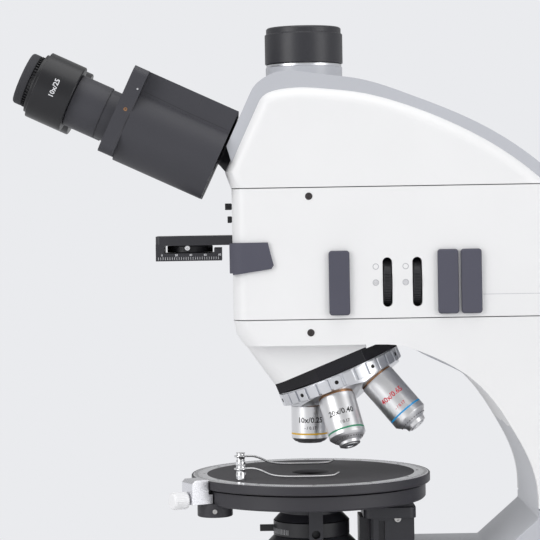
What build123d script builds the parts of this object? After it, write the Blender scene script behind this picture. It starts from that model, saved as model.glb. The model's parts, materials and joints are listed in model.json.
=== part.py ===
from build123d import *
import os
from math import cos, pi, radians, sin, sqrt

# Polarizing microscope with reflected and transmitted light.
# Origin: the point of the table under the optical axis. +Z up, the user sits at -Y,
# the user's right hand is at +X. Sizes are in millimetres.

# Driving heights on the optical axis
STAGE_TOP = 188.0
PARFOCAL = 45.0
SEAM_LOW = 291.0
SEAM_HIGH = 375.0
HEAD_TOP = 445.7
HEAD_CLEAR = HEAD_TOP + 34.3
LAMP_AXIS_Z = 314.0

# Stand
BODY_HALF = 53.0
COVER_WALL = 5.0
FRAME_WALL = 5.0
SEAM_GAP = 0.6
FRONT_Y = -49.0
BACK_Y = 187.0
BACK_ARC_RADIUS = 109.0
BACK_ARC_Z = 305.0
BAND_WIDTH = 6.0
RIM_LAP = 3.0
SPINE_TOP_END_Y = 22.0
PEDESTAL_FRONT_Y = 70.5
PEDESTAL_TOP = 138.0
PEDESTAL_SHOULDER_Y = 115.0
THROAT_Y = 143.0
THROAT_Z = 172.0
THROAT_SLOPE_Z = 162.5
COVER_END_Z = 168.0
CREASE_Z = 274.5
CREASE_END_Y = 43.0
NOSE_HALF = 41.0
LIGHT_BORE = 15.0
FRONT_EDGE_RADIUS = 10.0
SPINE_CHIN = -4.0
COVER_CHIN = -19.5

# Base
BASE_TOP = 54.0
FOOT_HEIGHT = 4.0
BASE_PLATE = 3.0
BASE_WALL = 4.5
BASE_FRONT_Y = -122.0
BASE_FRONT_HALF = 72.0
BASE_HALF = 94.0
BASE_BEND_Y = 10.0
DIMMER_Y = -30.0
DIMMER_PROUD = 5.0 / 3.0
DIMMER_SPINDLE = 4.0
BASE_EDGE = 7.0
FOOT_RADIUS = 13.0
FIELD_COLLAR_RADIUS = 33.0
FIELD_COLLAR_HEIGHT = 6.0
FIELD_LENS_RADIUS = 17.0
INLET_X = -38.0
SWITCH_X = 30.0
REAR_PANEL_Z = 28.0

# Binocular head
HEAD_TILT = 25.0
HEAD_PIVOT_Y = -51.7
HEAD_PIVOT_Z = 406.6
HEAD_LENGTH = 72.0
HEAD_UP = 19.5
HEAD_DOWN = 40.0
TUBE_ARM = 36.2
TUBE_HALF_SPACING = 32.2
HUB_RADIUS = 12.0
FLANGE_RADIUS = 19.0
FLANGE_DEPTH = 8.2
HINGE_CLEARANCE = 0.08
BULGE_RADIUS = 25.0
TUBE_RADIUS = 17.2
EYEPIECE_RADIUS = 22.2
EYEPIECE_START = HEAD_LENGTH + 29.0
EYEPIECE_LENGTH = 24.0
EYECUP_RADIUS = 17.2
OPEN_DEG = 18.0
CLOSE_DEG = 15.0

# Photo port
PORT_RADIUS = 25.2
COLLAR_TOP = 454.4
CAP_HEIGHT = 26.3
CAP_WALL = 2.2
PORT_TUBE_BORE = 19.0

# Nosepiece and objectives
NOSE_TILT = 22.0
SHOULDER = 69.0
TURRET_TOP = 50.0
TURRET_RING = 8.8
TURRET_RADIUS = 42.0
SEAT_THICKNESS = 9.2
SEAT_GAP = 0.4
PIVOT_RADIUS = 7.0
PIVOT_REACH = 6.0
STATIONS = 5
PORT_THREAD = 10.16
THREAD_GAP = 0.05
THREAD_LENGTH = 5.0
BARREL_RADIUS = 12.0

# Stage
DISC_RADIUS = 78.5
DISC_THICKNESS = 6.0
STAGE_BASE_RADIUS = 75.5
STAGE_BASE_BOTTOM = 171.5
STAGE_GAP = 1.0
INSERT_RADIUS = 68.2
INSERT_THICKNESS = 2.0
INSERT_HOLE = 11.8
STAGE_BORE = 26.0
CLIP_X = 36.0
CLIP_Y = -46.0
CLIP_HEIGHT = 9.4
CLIP_WIRE = 0.8
VERNIER_DEG = 27.0
VERNIER_WIDTH = 15.0
CLAMP_KNOB_RADIUS = 5.6
BOSS_RADIUS = 11.4

# Stage carrier and focus drive
CARRIER_FRONT_Y = 37.5
CARRIER_BOTTOM = 95.0
CARRIER_HALF = 27.0
SLIDE_GAP = 0.3
GUIDE_HALF = 14.0
GUIDE_DEPTH = 8.0
LIFT_DOWN = 25.0
FOCUS_Y = 108.0
FOCUS_Z = 92.0
COARSE_RADIUS = 24.0
COARSE_LENGTH = 22.0
FINE_RADIUS = 15.0
FINE_LENGTH = 20.0
TENSION_RADIUS = 27.0
TENSION_LENGTH = 7.0
COARSE_SHAFT = 9.0
FINE_SHAFT = 5.0

# Condenser
RAIL_HALF = 12.0
RAIL_DEPTH = 6.5
CONDENSER_NECK = 20.0
IRIS_RADIUS = 25.0
IRIS_TOP = 157.0
IRIS_BOTTOM = 147.6
CONDENSER_RADIUS = 29.0
CONDENSER_SLEEVE = 24.0
HOLDER_TOP = 126.0
HOLDER_BOTTOM = 110.0
HOLDER_WALL = 7.0
POLARIZER_RADIUS = 27.0
POLARIZER_BOTTOM = 99.0
LEVER_WIDTH = 9.0

# Sliders, wheels and grip of the illuminator
PAD_HEIGHT = 41.0
PAD_WIDTH = 13.2
PAD_PROUD = 3.0
PAD_RADIUS = 2.0
POLARIZER_SLIDER_Y = 18.5
FILTER_SLIDERS_Y = (87.6, 102.4)
SLIDER_PLATE = 5.0
WHEELS_Y = (49.2, 68.2)
WHEEL_RADIUS = 17.5
WHEEL_WIDTH = 5.0
WHEEL_CENTRE_X = 36.9
WHEEL_SLOT_HEIGHT = 31.5
WHEEL_SLOT_WIDTH = 6.2
BLOCK_TOP = 338.0
BLOCK_FRONT_Y = 9.0
BLOCK_BACK_Y = 112.0
BLOCK_HALF = 27.0
ANALYZER_TOP = 344.8
ANALYZER_HALF = 21.0
ANALYZER_FRONT_Y = -99.0
ANALYZER_DISC_Y = -77.0
ANALYZER_DISC_RADIUS = 15.0
TAB_HALF = 12.0
UPPER_TAB_Z = 361.5
LOWER_TAB_Z = 353.0
ROD_Y = 40.0
ROD_Z = 400.0
ROD_RADIUS = 3.0

DOWN = (Align.CENTER, Align.CENTER, Align.MAX)
UP = (Align.CENTER, Align.CENTER, Align.MIN)

FRAME_HALF = BODY_HALF - COVER_WALL
HEAD_FRAME = Plane(
    origin=(0, HEAD_PIVOT_Y, HEAD_PIVOT_Z),
    x_dir=(1, 0, 0),
    z_dir=(0, -cos(radians(HEAD_TILT)), sin(radians(HEAD_TILT))),
)
APEX_Z = STAGE_TOP + PARFOCAL + SHOULDER
NOSE_FRAME = Plane(
    origin=(0, 0, APEX_Z),
    x_dir=(1, 0, 0),
    z_dir=(0, sin(radians(NOSE_TILT)), -cos(radians(NOSE_TILT))),
)
TUBE_DROP = sqrt(TUBE_ARM**2 - TUBE_HALF_SPACING**2)


def polygon(points):
    """Face with straight edges through the points."""
    return make_face(Polyline(*points, close=True))


def across(outline, half_width):
    """Solid of a side outline, drawn in (Y, Z), over both sides of the mid plane."""
    return extrude(Plane.YZ * outline, amount=half_width, both=True)


def turned(points):
    """Solid of revolution about Z of a half section given as (radius, height)."""
    return revolve(Plane.XZ * polygon(points), Axis.Z)


def block(x0, x1, y0, y1, z0, z1):
    """Box between two corners."""
    box = Box(x1 - x0, y1 - y0, z1 - z0)
    return Pos((x0 + x1) / 2, (y0 + y1) / 2, (z0 + z1) / 2) * box


def rod(origin, direction, radius, length):
    """Cylinder that starts at the origin point and runs along the direction."""
    return Plane(origin=origin, z_dir=direction) * Cylinder(radius, length, align=UP)


def slab(z0, z1):
    """Thick horizontal slice of space between two heights."""
    reach = 400.0
    return block(-reach, reach, -reach, reach, z0, z1)


def head_point(forward, up):
    """(Y, Z) of a point given along and across the tilted axis of the head."""
    tilt = radians(HEAD_TILT)
    y = HEAD_PIVOT_Y - forward * cos(tilt) + up * sin(tilt)
    return (y, HEAD_PIVOT_Z + forward * sin(tilt) + up * cos(tilt))


def nose_point(along, back):
    """(Y, Z) of a point given along the nosepiece axis and across it, to the rear."""
    tilt = radians(NOSE_TILT)
    return (
        along * sin(tilt) + back * cos(tilt),
        APEX_Z - along * cos(tilt) + back * sin(tilt),
    )


# Stand outlines, drawn in (Y, Z)


def back_arc_point(radius, height):
    """(Y, Z) where the rear arc of the given radius passes a height."""
    rise = height - BACK_ARC_Z
    return (BACK_Y - BACK_ARC_RADIUS + sqrt(radius**2 - rise**2), height)


def stand_outline(inset, front, nose_inset, bottom, chin_up, wall=0.0):
    """Side outline of the stand: head, arm and pedestal in one closed line.

    inset is measured inwards from the spine, front outwards at the front face and
    nose_inset inwards at the nosepiece seat. bottom is the height of the lower end,
    chin_up the lower end of the snout face and wall the inset along the inner curve.
    """
    arc_radius = BACK_ARC_RADIUS - inset
    arc_top = back_arc_point(arc_radius, BACK_ARC_Z + 0.766 * arc_radius)
    arc_mid = back_arc_point(arc_radius, BACK_ARC_Z + 0.4 * arc_radius)
    arc_end = (BACK_Y - inset, BACK_ARC_Z)
    throat = (THROAT_Y + wall, THROAT_Z)
    snout = -FLANGE_DEPTH + (BAND_WIDTH - inset) + 0.5
    top = HEAD_TOP - inset
    seat = nose_point(TURRET_TOP - SEAT_THICKNESS - nose_inset, nose_inset - TURRET_RADIUS + 0.5)
    seat_back_z = CREASE_Z + nose_inset
    slope = radians(NOSE_TILT)
    seat_back = (seat[0] + (seat_back_z - seat[1]) / sin(slope) * cos(slope), seat_back_z)
    brow = head_point(snout, 34.0 - inset * 0.6)
    chin = head_point(snout, chin_up)
    crown = Spline(
        [brow, (-27.0 + inset * 1.9, top - inset * 0.02), (SPINE_TOP_END_Y, top - inset * 0.25)],
        tangents=[(sin(radians(HEAD_TILT)), cos(radians(HEAD_TILT))), (1, -0.10)],
    )
    nape = Spline(
        [(SPINE_TOP_END_Y, top - inset * 0.25), (63.3, 434.3 - inset), (106.9, 415.7 - inset * 1.1), arc_top],
        tangents=[(1, -0.10), (1, -0.84)],
    )
    rear = ThreePointArc(arc_top, arc_mid, arc_end)
    inner = Spline(
        [
            throat,
            (128.5 + 0.89 * wall, 217.0 + 0.45 * wall),
            (102.0 + 0.64 * wall, 251.5 + 0.77 * wall),
            (66.0 + 0.25 * wall, 270.9 + 0.97 * wall),
            (CREASE_END_Y, seat_back_z),
        ],
        tangents=[(0.0, 1.0), (-1, 0)],
    )
    lower = Polyline(
        arc_end,
        (BACK_Y - inset, bottom),
        (PEDESTAL_FRONT_Y + wall, bottom),
        (PEDESTAL_FRONT_Y + wall, PEDESTAL_TOP - wall),
        (PEDESTAL_SHOULDER_Y + 0.35 * wall, PEDESTAL_TOP - wall),
        (THROAT_Y + wall, THROAT_SLOPE_Z - 0.6 * wall),
        throat,
    )
    nose = Polyline(
        (CREASE_END_Y, seat_back_z),
        seat_back,
        seat,
        (FRONT_Y - front + 1.8, SEAM_LOW - 9.0),
        (FRONT_Y - front, SEAM_LOW),
        (FRONT_Y - front, SEAM_HIGH),
        chin,
        brow,
    )
    return make_face([crown, nape, rear, lower, inner, nose])


def spine_outline():
    """Outline of the grey frame, which shows as a band round the white covers."""
    return stand_outline(0.0, -COVER_WALL, COVER_WALL, BASE_TOP, SPINE_CHIN)


def room_outline():
    """Outline of the hollow inside the frame, whose rim reaches in under the covers."""
    depth = COVER_WALL + FRAME_WALL
    rim = BAND_WIDTH + RIM_LAP
    return stand_outline(rim, -depth, depth, BASE_TOP + FRAME_WALL, SPINE_CHIN, FRAME_WALL)


def cover_outline():
    """Outline of the white covers, set in from the spine by the band."""
    return stand_outline(BAND_WIDTH, 0.0, 0.0, COVER_END_Z, COVER_CHIN)


def narrow_nose(solid, half_width, top):
    """Cuts the sides of the arm back below a height, in front of the throat."""
    side = block(half_width, BODY_HALF + 1, FRONT_Y - 30, CREASE_END_Y - 8, STAGE_TOP, top)
    return solid - side - mirror(side, Plane.YZ)


def frame_part(z0, z1):
    """One storey of the hollow grey frame, with walls all round and light bores."""
    storey = across(spine_outline(), FRAME_HALF) & slab(z0, z1)
    room = across(room_outline(), FRAME_HALF + 1) & slab(z0 + FRAME_WALL, z1 - FRAME_WALL)
    return storey - room


def light_bore():
    """Vertical passage of the image-forming light through every storey."""
    return Pos(0, 0, STAGE_TOP) * Cylinder(LIGHT_BORE, 280, align=UP)


def head_frame():
    """Grey frame of the head with the round collar of the photo port."""
    collar = Pos(0, 0, HEAD_TOP - 12) * Cylinder(PORT_RADIUS, COLLAR_TOP - HEAD_TOP + 12, align=UP)
    room = Pos(0, 0, SEAM_HIGH + FRAME_WALL) * Cylinder(PORT_TUBE_BORE, 100, align=UP)
    hub = HEAD_FRAME * Pos(0, 0, -30) * Cylinder(HUB_RADIUS, 60, align=UP)
    rod_hole = rod((-BODY_HALF - 1, ROD_Y, ROD_Z), (1, 0, 0), ROD_RADIUS + SLIDE_GAP, 40)
    flange = HEAD_FRAME * Pos(0, 0, -FLANGE_DEPTH) * Cylinder(FLANGE_RADIUS + 0.1, 40, align=UP)
    return frame_part(SEAM_HIGH, HEAD_CLEAR) + collar - room - hub - rod_hole - flange - light_bore()


def illuminator_frame():
    """Grey frame of the storey that holds the reflected-light path."""
    frame = frame_part(SEAM_LOW, SEAM_HIGH)
    front_slots = block(-ANALYZER_HALF - 1, ANALYZER_HALF + 1, -60, -30, 338, 366)
    return frame - light_bore() - front_slots


def stand_frame():
    """Grey arm and pedestal: side walls below the covers, focus guide in front."""
    arm = frame_part(BASE_TOP, SEAM_LOW)
    pedestal = across(spine_outline(), BODY_HALF) & slab(BASE_TOP, COVER_END_Z - SEAM_GAP)
    pedestal -= across(room_outline(), FRAME_HALF)
    guide = block(
        -GUIDE_HALF,
        GUIDE_HALF,
        PEDESTAL_FRONT_Y - GUIDE_DEPTH,
        PEDESTAL_FRONT_Y + 1,
        CARRIER_BOTTOM - 22,
        PEDESTAL_TOP - 6,
    )
    bearing = rod((-BODY_HALF, FOCUS_Y, FOCUS_Z), (1, 0, 0), COARSE_SHAFT + 5, 2 * BODY_HALF)
    shaft = rod((-BODY_HALF - 1, FOCUS_Y, FOCUS_Z), (1, 0, 0), COARSE_SHAFT + HINGE_CLEARANCE, 2 * BODY_HALF + 2)
    frame = arm + pedestal + guide + bearing - shaft
    return narrow_nose(frame, NOSE_HALF - COVER_WALL, CREASE_Z + COVER_WALL) - light_bore()


def front_edges(shell):
    """Edges where the sides of a cover meet its front walls."""
    return [
        edge
        for edge in shell.edges()
        if abs(edge.start_point().X - edge.end_point().X) < 0.01
        and abs(edge.center().X) > NOSE_HALF - 1
        and edge.bounding_box().max.Y < FRONT_Y + 28
        and edge.bounding_box().size.Z > 4
    ]


def cover_block(z0, z1):
    """Solid envelope of one white cover, before its inside is taken out."""
    return across(cover_outline(), BODY_HALF) & slab(z0 + SEAM_GAP / 2, z1 - SEAM_GAP / 2)


def cover(z0, z1):
    """White cover of one storey: two side plates joined by the front wall."""
    shell = cover_block(z0, z1)
    shell = fillet(front_edges(shell), FRONT_EDGE_RADIUS)
    return shell - across(spine_outline(), FRAME_HALF)


def side_slot(y, z, width, height, depth):
    """Round-ended upright slot cut into the right side at a place along the body."""
    face = Plane(origin=(BODY_HALF + 5, y, z), x_dir=(0, 1, 0), z_dir=(1, 0, 0)) * SlotOverall(height, width, rotation=90)
    return extrude(face, amount=-depth)


def pad_window(y, gap):
    """Rectangular window of a slider in the right side."""
    face = Plane(origin=(BODY_HALF + 5, y, LAMP_AXIS_Z), x_dir=(0, 1, 0), z_dir=(1, 0, 0)) * RectangleRounded(
        PAD_WIDTH - 2 + 2 * gap, PAD_HEIGHT - 2 + 2 * gap, PAD_RADIUS
    )
    return extrude(face, amount=-40)


def illuminator_cover():
    """White cover of the middle storey with its slots, windows and front openings."""
    shell = cover(SEAM_LOW, SEAM_HIGH)
    for y in WHEELS_Y:
        shell -= side_slot(y, LAMP_AXIS_Z, WHEEL_SLOT_WIDTH, WHEEL_SLOT_HEIGHT, 20)
    for y in (POLARIZER_SLIDER_Y, *FILTER_SLIDERS_Y):
        shell -= pad_window(y, SLIDE_GAP)
    shell -= block(
        -ANALYZER_HALF - SLIDE_GAP, ANALYZER_HALF + SLIDE_GAP, -60, -40, ANALYZER_TOP - 6.3, ANALYZER_TOP + SLIDE_GAP
    )
    for z in (UPPER_TAB_Z, LOWER_TAB_Z):
        shell -= block(-TAB_HALF - SLIDE_GAP, TAB_HALF + SLIDE_GAP, -60, -40, z - SLIDE_GAP, z + 4.3 + SLIDE_GAP)
    for y, z in SCREW_PLACES[:1]:
        shell -= screw_hole(y, z)
    return shell


SCREW_PLACES = ((0.0, SEAM_HIGH - 5.6), (0.0, SEAM_LOW - 8.4))
SCREW_RADIUS = 2.3


def screw_hole(y, z):
    """Countersink for one cover screw in both sides."""
    return rod((-BODY_HALF - 1, y, z), (1, 0, 0), SCREW_RADIUS + 0.1, 2 * BODY_HALF + 2)


def cover_screws():
    """Screws that hold the covers to the frame, sunk in both sides."""
    screws = []
    for y, z in SCREW_PLACES:
        for side in (-1, 1):
            screws.append(rod((side * FRAME_HALF, y, z), (side, 0, 0), SCREW_RADIUS, 4.0))
    return Compound(children=screws)


def head_cover():
    """White cover of the head, leaning forward to the eyetube flange."""
    shell = cover(SEAM_HIGH, HEAD_CLEAR)
    flange = HEAD_FRAME * Pos(0, 0, -FLANGE_DEPTH - 30) * Cylinder(FLANGE_RADIUS + 0.1, 80, align=UP)
    rod_hole = rod((-BODY_HALF - 1, ROD_Y, ROD_Z), (1, 0, 0), ROD_RADIUS + SLIDE_GAP, 20)
    return shell - flange - rod_hole


def stand_cover():
    """White cover of the arm, with the block that carries the nosepiece."""
    shell = cover_block(COVER_END_Z, SEAM_LOW)
    upper = shell & slab(CREASE_Z, SEAM_LOW)
    upper = fillet(front_edges(upper), FRONT_EDGE_RADIUS)
    lower = narrow_nose(shell & slab(COVER_END_Z, CREASE_Z), NOSE_HALF, CREASE_Z)
    lower = fillet(front_edges(lower), FRONT_EDGE_RADIUS)
    core = narrow_nose(across(spine_outline(), FRAME_HALF), NOSE_HALF - COVER_WALL, CREASE_Z + COVER_WALL)
    return upper + lower - screw_hole(*SCREW_PLACES[1]) - core - light_bore()


def base_plan():
    """Footprint of the base: narrow round front, straight sides, square back."""
    corners = [
        (-BASE_FRONT_HALF, BASE_FRONT_Y),
        (BASE_FRONT_HALF, BASE_FRONT_Y),
        (BASE_HALF, BASE_BEND_Y),
        (BASE_HALF, BACK_Y),
        (-BASE_HALF, BACK_Y),
        (-BASE_HALF, BASE_BEND_Y),
    ]
    plan = polygon(corners)
    front = plan.vertices().group_by(Axis.Y)[0]
    plan = fillet(front, 38)
    waist = plan.vertices().filter_by(lambda v: abs(v.Y - BASE_BEND_Y) < 0.1)
    plan = fillet(waist, 120)
    rear = plan.vertices().group_by(Axis.Y)[-1]
    return fillet(rear, 14)


def base_housing():
    """Hollow base shell with side walls drawn in towards the top."""
    bottom = FOOT_HEIGHT + BASE_PLATE
    shell = Pos(0, 0, bottom) * extrude(base_plan(), amount=BASE_TOP - bottom, taper=4)
    shell = fillet(shell.faces().sort_by(Axis.Z)[-1].edges(), BASE_EDGE)
    room = Pos(0, 0, bottom) * extrude(offset(base_plan(), -BASE_WALL), amount=BASE_TOP - bottom - BASE_WALL, taper=6)
    lens_hole = Pos(0, 0, BASE_TOP) * Cylinder(FIELD_LENS_RADIUS + 3, 20)
    inlet = block(INLET_X - 14.2, INLET_X + 14.2, BACK_Y - 30, BACK_Y + 5, REAR_PANEL_Z - 10.2, REAR_PANEL_Z + 10.2)
    switch = block(SWITCH_X - 7.2, SWITCH_X + 7.2, BACK_Y - 30, BACK_Y + 5, REAR_PANEL_Z - 10.2, REAR_PANEL_Z + 10.2)
    dimmer = rod((dimmer_x() - 19, DIMMER_Y, REAR_PANEL_Z), (1, 0, 0), DIMMER_SPINDLE + SLIDE_GAP, 40)
    return shell - room - lens_hole - inlet - switch - dimmer


def base_plate():
    """Steel plate that closes the base from below."""
    return Pos(0, 0, FOOT_HEIGHT) * extrude(offset(base_plan(), -0.6), amount=BASE_PLATE)


FOOT_PLACES = ((-56, -96), (56, -96), (-76, 166), (76, 166))


def rubber_feet():
    """Four round feet under the base plate."""
    foot = turned([(0, 0), (FOOT_RADIUS - 2, 0), (FOOT_RADIUS, 2), (FOOT_RADIUS, FOOT_HEIGHT), (0, FOOT_HEIGHT)])
    return Compound(children=[Pos(x, y, 0) * foot for x, y in FOOT_PLACES])


def field_lens_collar():
    """Ring on the base round the field lens, with a filter recess."""
    section = [
        (FIELD_LENS_RADIUS, BASE_TOP),
        (FIELD_COLLAR_RADIUS, BASE_TOP),
        (FIELD_COLLAR_RADIUS - 2, BASE_TOP + FIELD_COLLAR_HEIGHT),
        (FIELD_LENS_RADIUS + 5, BASE_TOP + FIELD_COLLAR_HEIGHT),
        (FIELD_LENS_RADIUS + 5, BASE_TOP + 3),
        (FIELD_LENS_RADIUS, BASE_TOP + 3),
    ]
    return turned(section)


def field_lens():
    """Domed lens over the lamp of the base."""
    radius = FIELD_LENS_RADIUS - 0.1
    drum = Pos(0, 0, BASE_TOP - 4) * Cylinder(radius, 6, align=UP)
    dome = Pos(0, 0, BASE_TOP + 4 - 60) * Sphere(60)
    return drum & dome


def power_inlet():
    """Appliance inlet in the back of the base with three flat pins."""
    body = block(INLET_X - 14, INLET_X + 14, BACK_Y - 22, BACK_Y - 1, REAR_PANEL_Z - 10, REAR_PANEL_Z + 10)
    socket = block(INLET_X - 12, INLET_X + 12, BACK_Y - 17, BACK_Y, REAR_PANEL_Z - 8, REAR_PANEL_Z + 8)
    inlet = body - socket
    for dx, dz in ((-7, -1.5), (0, 2.0), (7, -1.5)):
        inlet += block(
            INLET_X + dx - 1, INLET_X + dx + 1, BACK_Y - 18, BACK_Y - 8, REAR_PANEL_Z + dz - 2, REAR_PANEL_Z + dz + 2
        )
    return inlet


def power_rocker():
    """Rocker of the mains switch, pivoted across its middle."""
    profile = polygon(
        [(BACK_Y - 6, -8.5), (BACK_Y + 0.2, -8.5), (BACK_Y - 1.2, 0), (BACK_Y + 1.4, 8.0), (BACK_Y - 4, 8.5)]
    )
    rocker = extrude(Plane.YZ * profile, amount=6.5, both=True)
    return Pos(SWITCH_X, 0, REAR_PANEL_Z) * rocker


def dimmer_x():
    """Place of the brightness knob, just proud of the sloping side of the base."""
    slope = (BASE_HALF - BASE_FRONT_HALF) / (BASE_BEND_Y - BASE_FRONT_Y)
    return BASE_HALF - slope * (BASE_BEND_Y - DIMMER_Y) + DIMMER_PROUD


def dimmer_knob():
    """Brightness knob on the right side of the base."""
    x = dimmer_x()
    spindle = rod((x - 14, DIMMER_Y, REAR_PANEL_Z), (1, 0, 0), DIMMER_SPINDLE, 16)
    knob = rod((x + 0.6, DIMMER_Y, REAR_PANEL_Z), (1, 0, 0), 10.0, 10)
    knob = chamfer(knob.faces().sort_by(Axis.X)[-1].edges(), 1.0)
    return spindle + knob


# Binocular head


def eyetube_flange():
    """Fixed black cone flange of the head with the hub both eyetubes turn on."""
    cone = turned(
        [
            (0, -FLANGE_DEPTH - 14),
            (HUB_RADIUS - 0.2, -FLANGE_DEPTH - 14),
            (HUB_RADIUS - 0.2, -FLANGE_DEPTH),
            (FLANGE_RADIUS, -FLANGE_DEPTH),
            (FLANGE_RADIUS - 3, -1.7),
            (FLANGE_RADIUS - 3, -0.3),
            (HUB_RADIUS, -0.3),
            (HUB_RADIUS, HEAD_LENGTH + 0.5),
            (HUB_RADIUS - 1.5, HEAD_LENGTH + 2),
            (0, HEAD_LENGTH + 2),
        ]
    )
    return HEAD_FRAME * cone


def tube_half(side):
    """One half of the head: hinged housing, front plate and eyetube."""
    tube_x = TUBE_HALF_SPACING
    bulge = Pos(tube_x, -TUBE_DROP, 0) * Cylinder(BULGE_RADIUS, HEAD_LENGTH - 10, align=UP)
    inner = block(0, tube_x, -TUBE_DROP - BULGE_RADIUS, 0, 0, HEAD_LENGTH - 10)
    inner = fillet(inner.edges().filter_by(Axis.X).group_by(Axis.Y)[0].group_by(Axis.Z)[0], 5)
    cap = block(0, tube_x + 14, -TUBE_DROP, HEAD_UP, 0, HEAD_LENGTH - 10)
    plate_face = Pos(tube_x / 2 + 12, (HEAD_UP - HEAD_DOWN) / 2) * RectangleRounded(tube_x + 24, HEAD_UP + HEAD_DOWN, 6)
    plate = Pos(0, 0, HEAD_LENGTH - 10) * extrude(plate_face, amount=10)
    neck = Pos(tube_x, -TUBE_DROP, HEAD_LENGTH) * Cylinder(TUBE_RADIUS - 0.7, 7.5, align=UP)
    tube = Pos(tube_x, -TUBE_DROP, HEAD_LENGTH + 7.5) * Cylinder(
        TUBE_RADIUS, EYEPIECE_START - HEAD_LENGTH - 8, align=UP
    )
    half = bulge + inner + cap + plate + neck + tube
    # Each half stops at the planes through the hub where its twin meets it
    upper = Rot(0, 0, 90 - OPEN_DEG) * block(-1, 90, 0, 90, -1, HEAD_LENGTH + 1)
    lower = Rot(0, 0, CLOSE_DEG - 90) * block(-1, 90, -90, 0, -1, HEAD_LENGTH + 1)
    behind = block(-90, 0, -90, 90, -1, HEAD_LENGTH + 1)
    half -= upper
    half -= lower
    half -= behind
    lug_start = 0.0 if side > 0 else 4.3
    lug = Pos(0, 0, lug_start) * Cylinder(HUB_RADIUS + 5, 4.0, align=UP)
    other = Pos(0, 0, 4.3 - lug_start - 0.3) * Cylinder(HUB_RADIUS + 5.4, 4.6, align=UP)
    half = half - other + lug
    half -= Pos(0, 0, -1) * Cylinder(HUB_RADIUS + HINGE_CLEARANCE, HEAD_LENGTH + 3, align=UP)
    bore = Pos(tube_x, -TUBE_DROP, HEAD_LENGTH - 4) * Cylinder(TUBE_RADIUS - 5.6, 60, align=UP)
    half -= bore
    if side < 0:
        half = mirror(half, Plane.YZ)
    return HEAD_FRAME * half


def eyepiece(side):
    """Eyepiece barrel that screws in and out for the focus of one eye."""
    start = EYEPIECE_START - 0.2
    end = EYEPIECE_START + EYEPIECE_LENGTH
    section = [
        (0, start - 26),
        (TUBE_RADIUS - 5.7, start - 26),
        (TUBE_RADIUS - 5.7, start),
        (EYEPIECE_RADIUS, start),
        (EYEPIECE_RADIUS, end),
        (EYEPIECE_RADIUS - 2.6, end + 0.4),
        (EYEPIECE_RADIUS - 2.6, end + 2.6),
        (EYECUP_RADIUS - 0.2, end + 2.6),
        (EYECUP_RADIUS - 0.2, end + 5.0),
        (11, end + 5.0),
        (0, end + 3.0),
    ]
    return HEAD_FRAME * Pos(side * TUBE_HALF_SPACING, -TUBE_DROP, 0) * turned(section)


def eyecup(side):
    """Soft ring on the eye end of an eyepiece."""
    start = EYEPIECE_START + EYEPIECE_LENGTH + 5.2
    section = [
        (11.5, start),
        (EYECUP_RADIUS, start),
        (EYECUP_RADIUS, start + 5.0),
        (EYECUP_RADIUS - 1.2, start + 6.0),
        (13.5, start + 6.0),
    ]
    return HEAD_FRAME * Pos(side * TUBE_HALF_SPACING, -TUBE_DROP, 0) * turned(section)


# Photo port


def photo_port_tube():
    """Camera tube in the collar of the head."""
    section = [
        (PORT_TUBE_BORE - 3, SEAM_HIGH + 40),
        (PORT_TUBE_BORE - 0.1, SEAM_HIGH + 40),
        (PORT_TUBE_BORE - 0.1, COLLAR_TOP),
        (PORT_RADIUS - 0.5, COLLAR_TOP),
        (PORT_RADIUS - 0.5, COLLAR_TOP + 2),
        (PORT_RADIUS - CAP_WALL - 0.3, COLLAR_TOP + 2),
        (PORT_RADIUS - CAP_WALL - 0.3, COLLAR_TOP + CAP_HEIGHT - 4),
        (PORT_TUBE_BORE, COLLAR_TOP + CAP_HEIGHT - 4),
        (PORT_TUBE_BORE, COLLAR_TOP + 4),
        (PORT_TUBE_BORE - 3, COLLAR_TOP + 4),
    ]
    return turned(section)


def photo_port_cap():
    """Black cap over the camera tube, with a stepped top edge."""
    bottom = COLLAR_TOP + 2.3
    top = COLLAR_TOP + CAP_HEIGHT
    section = [
        (PORT_RADIUS - CAP_WALL, bottom),
        (PORT_RADIUS + 0.4, bottom),
        (PORT_RADIUS + 0.4, top - 4.5),
        (PORT_RADIUS - 0.8, top - 4.5),
        (PORT_RADIUS - 0.8, top - 0.8),
        (PORT_RADIUS - 1.6, top),
        (0, top),
        (0, top - 2.5),
        (PORT_RADIUS - CAP_WALL, top - 2.5),
    ]
    return turned(section)


# Nosepiece


def station_direction(index):
    """Direction of one objective in the nosepiece frame, station 0 on the optical axis."""
    angle = 2 * pi * index / STATIONS
    lean = sin(radians(NOSE_TILT))
    return (lean * sin(angle), lean * cos(angle), cos(radians(NOSE_TILT)))


def station_plane(index, distance):
    """Plane across one objective axis at a distance from the apex of the cone."""
    d = station_direction(index)
    local = Plane(origin=(d[0] * distance, d[1] * distance, d[2] * distance), z_dir=d)
    return NOSE_FRAME * local.location


def nosepiece_seat():
    """Faceted black plate under the arm that the turret turns on."""
    half = TURRET_RADIUS - 3
    plan = polygon(
        [
            (-14, TURRET_RADIUS - 0.5),
            (14, TURRET_RADIUS - 0.5),
            (half, 14),
            (half, -18),
            (24, -TURRET_RADIUS + 1),
            (-24, -TURRET_RADIUS + 1),
            (-half, -18),
            (-half, 14),
        ]
    )
    top = TURRET_TOP - SEAT_THICKNESS
    plate = Pos(0, 0, top) * extrude(plan, amount=SEAT_THICKNESS - SEAT_GAP)
    plate += Pos(0, 0, top) * Cylinder(PIVOT_RADIUS, SEAT_THICKNESS + PIVOT_REACH, align=UP)
    seat = NOSE_FRAME * plate
    return seat - across(cover_outline(), BODY_HALF) - across(spine_outline(), BODY_HALF) - light_bore()


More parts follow.
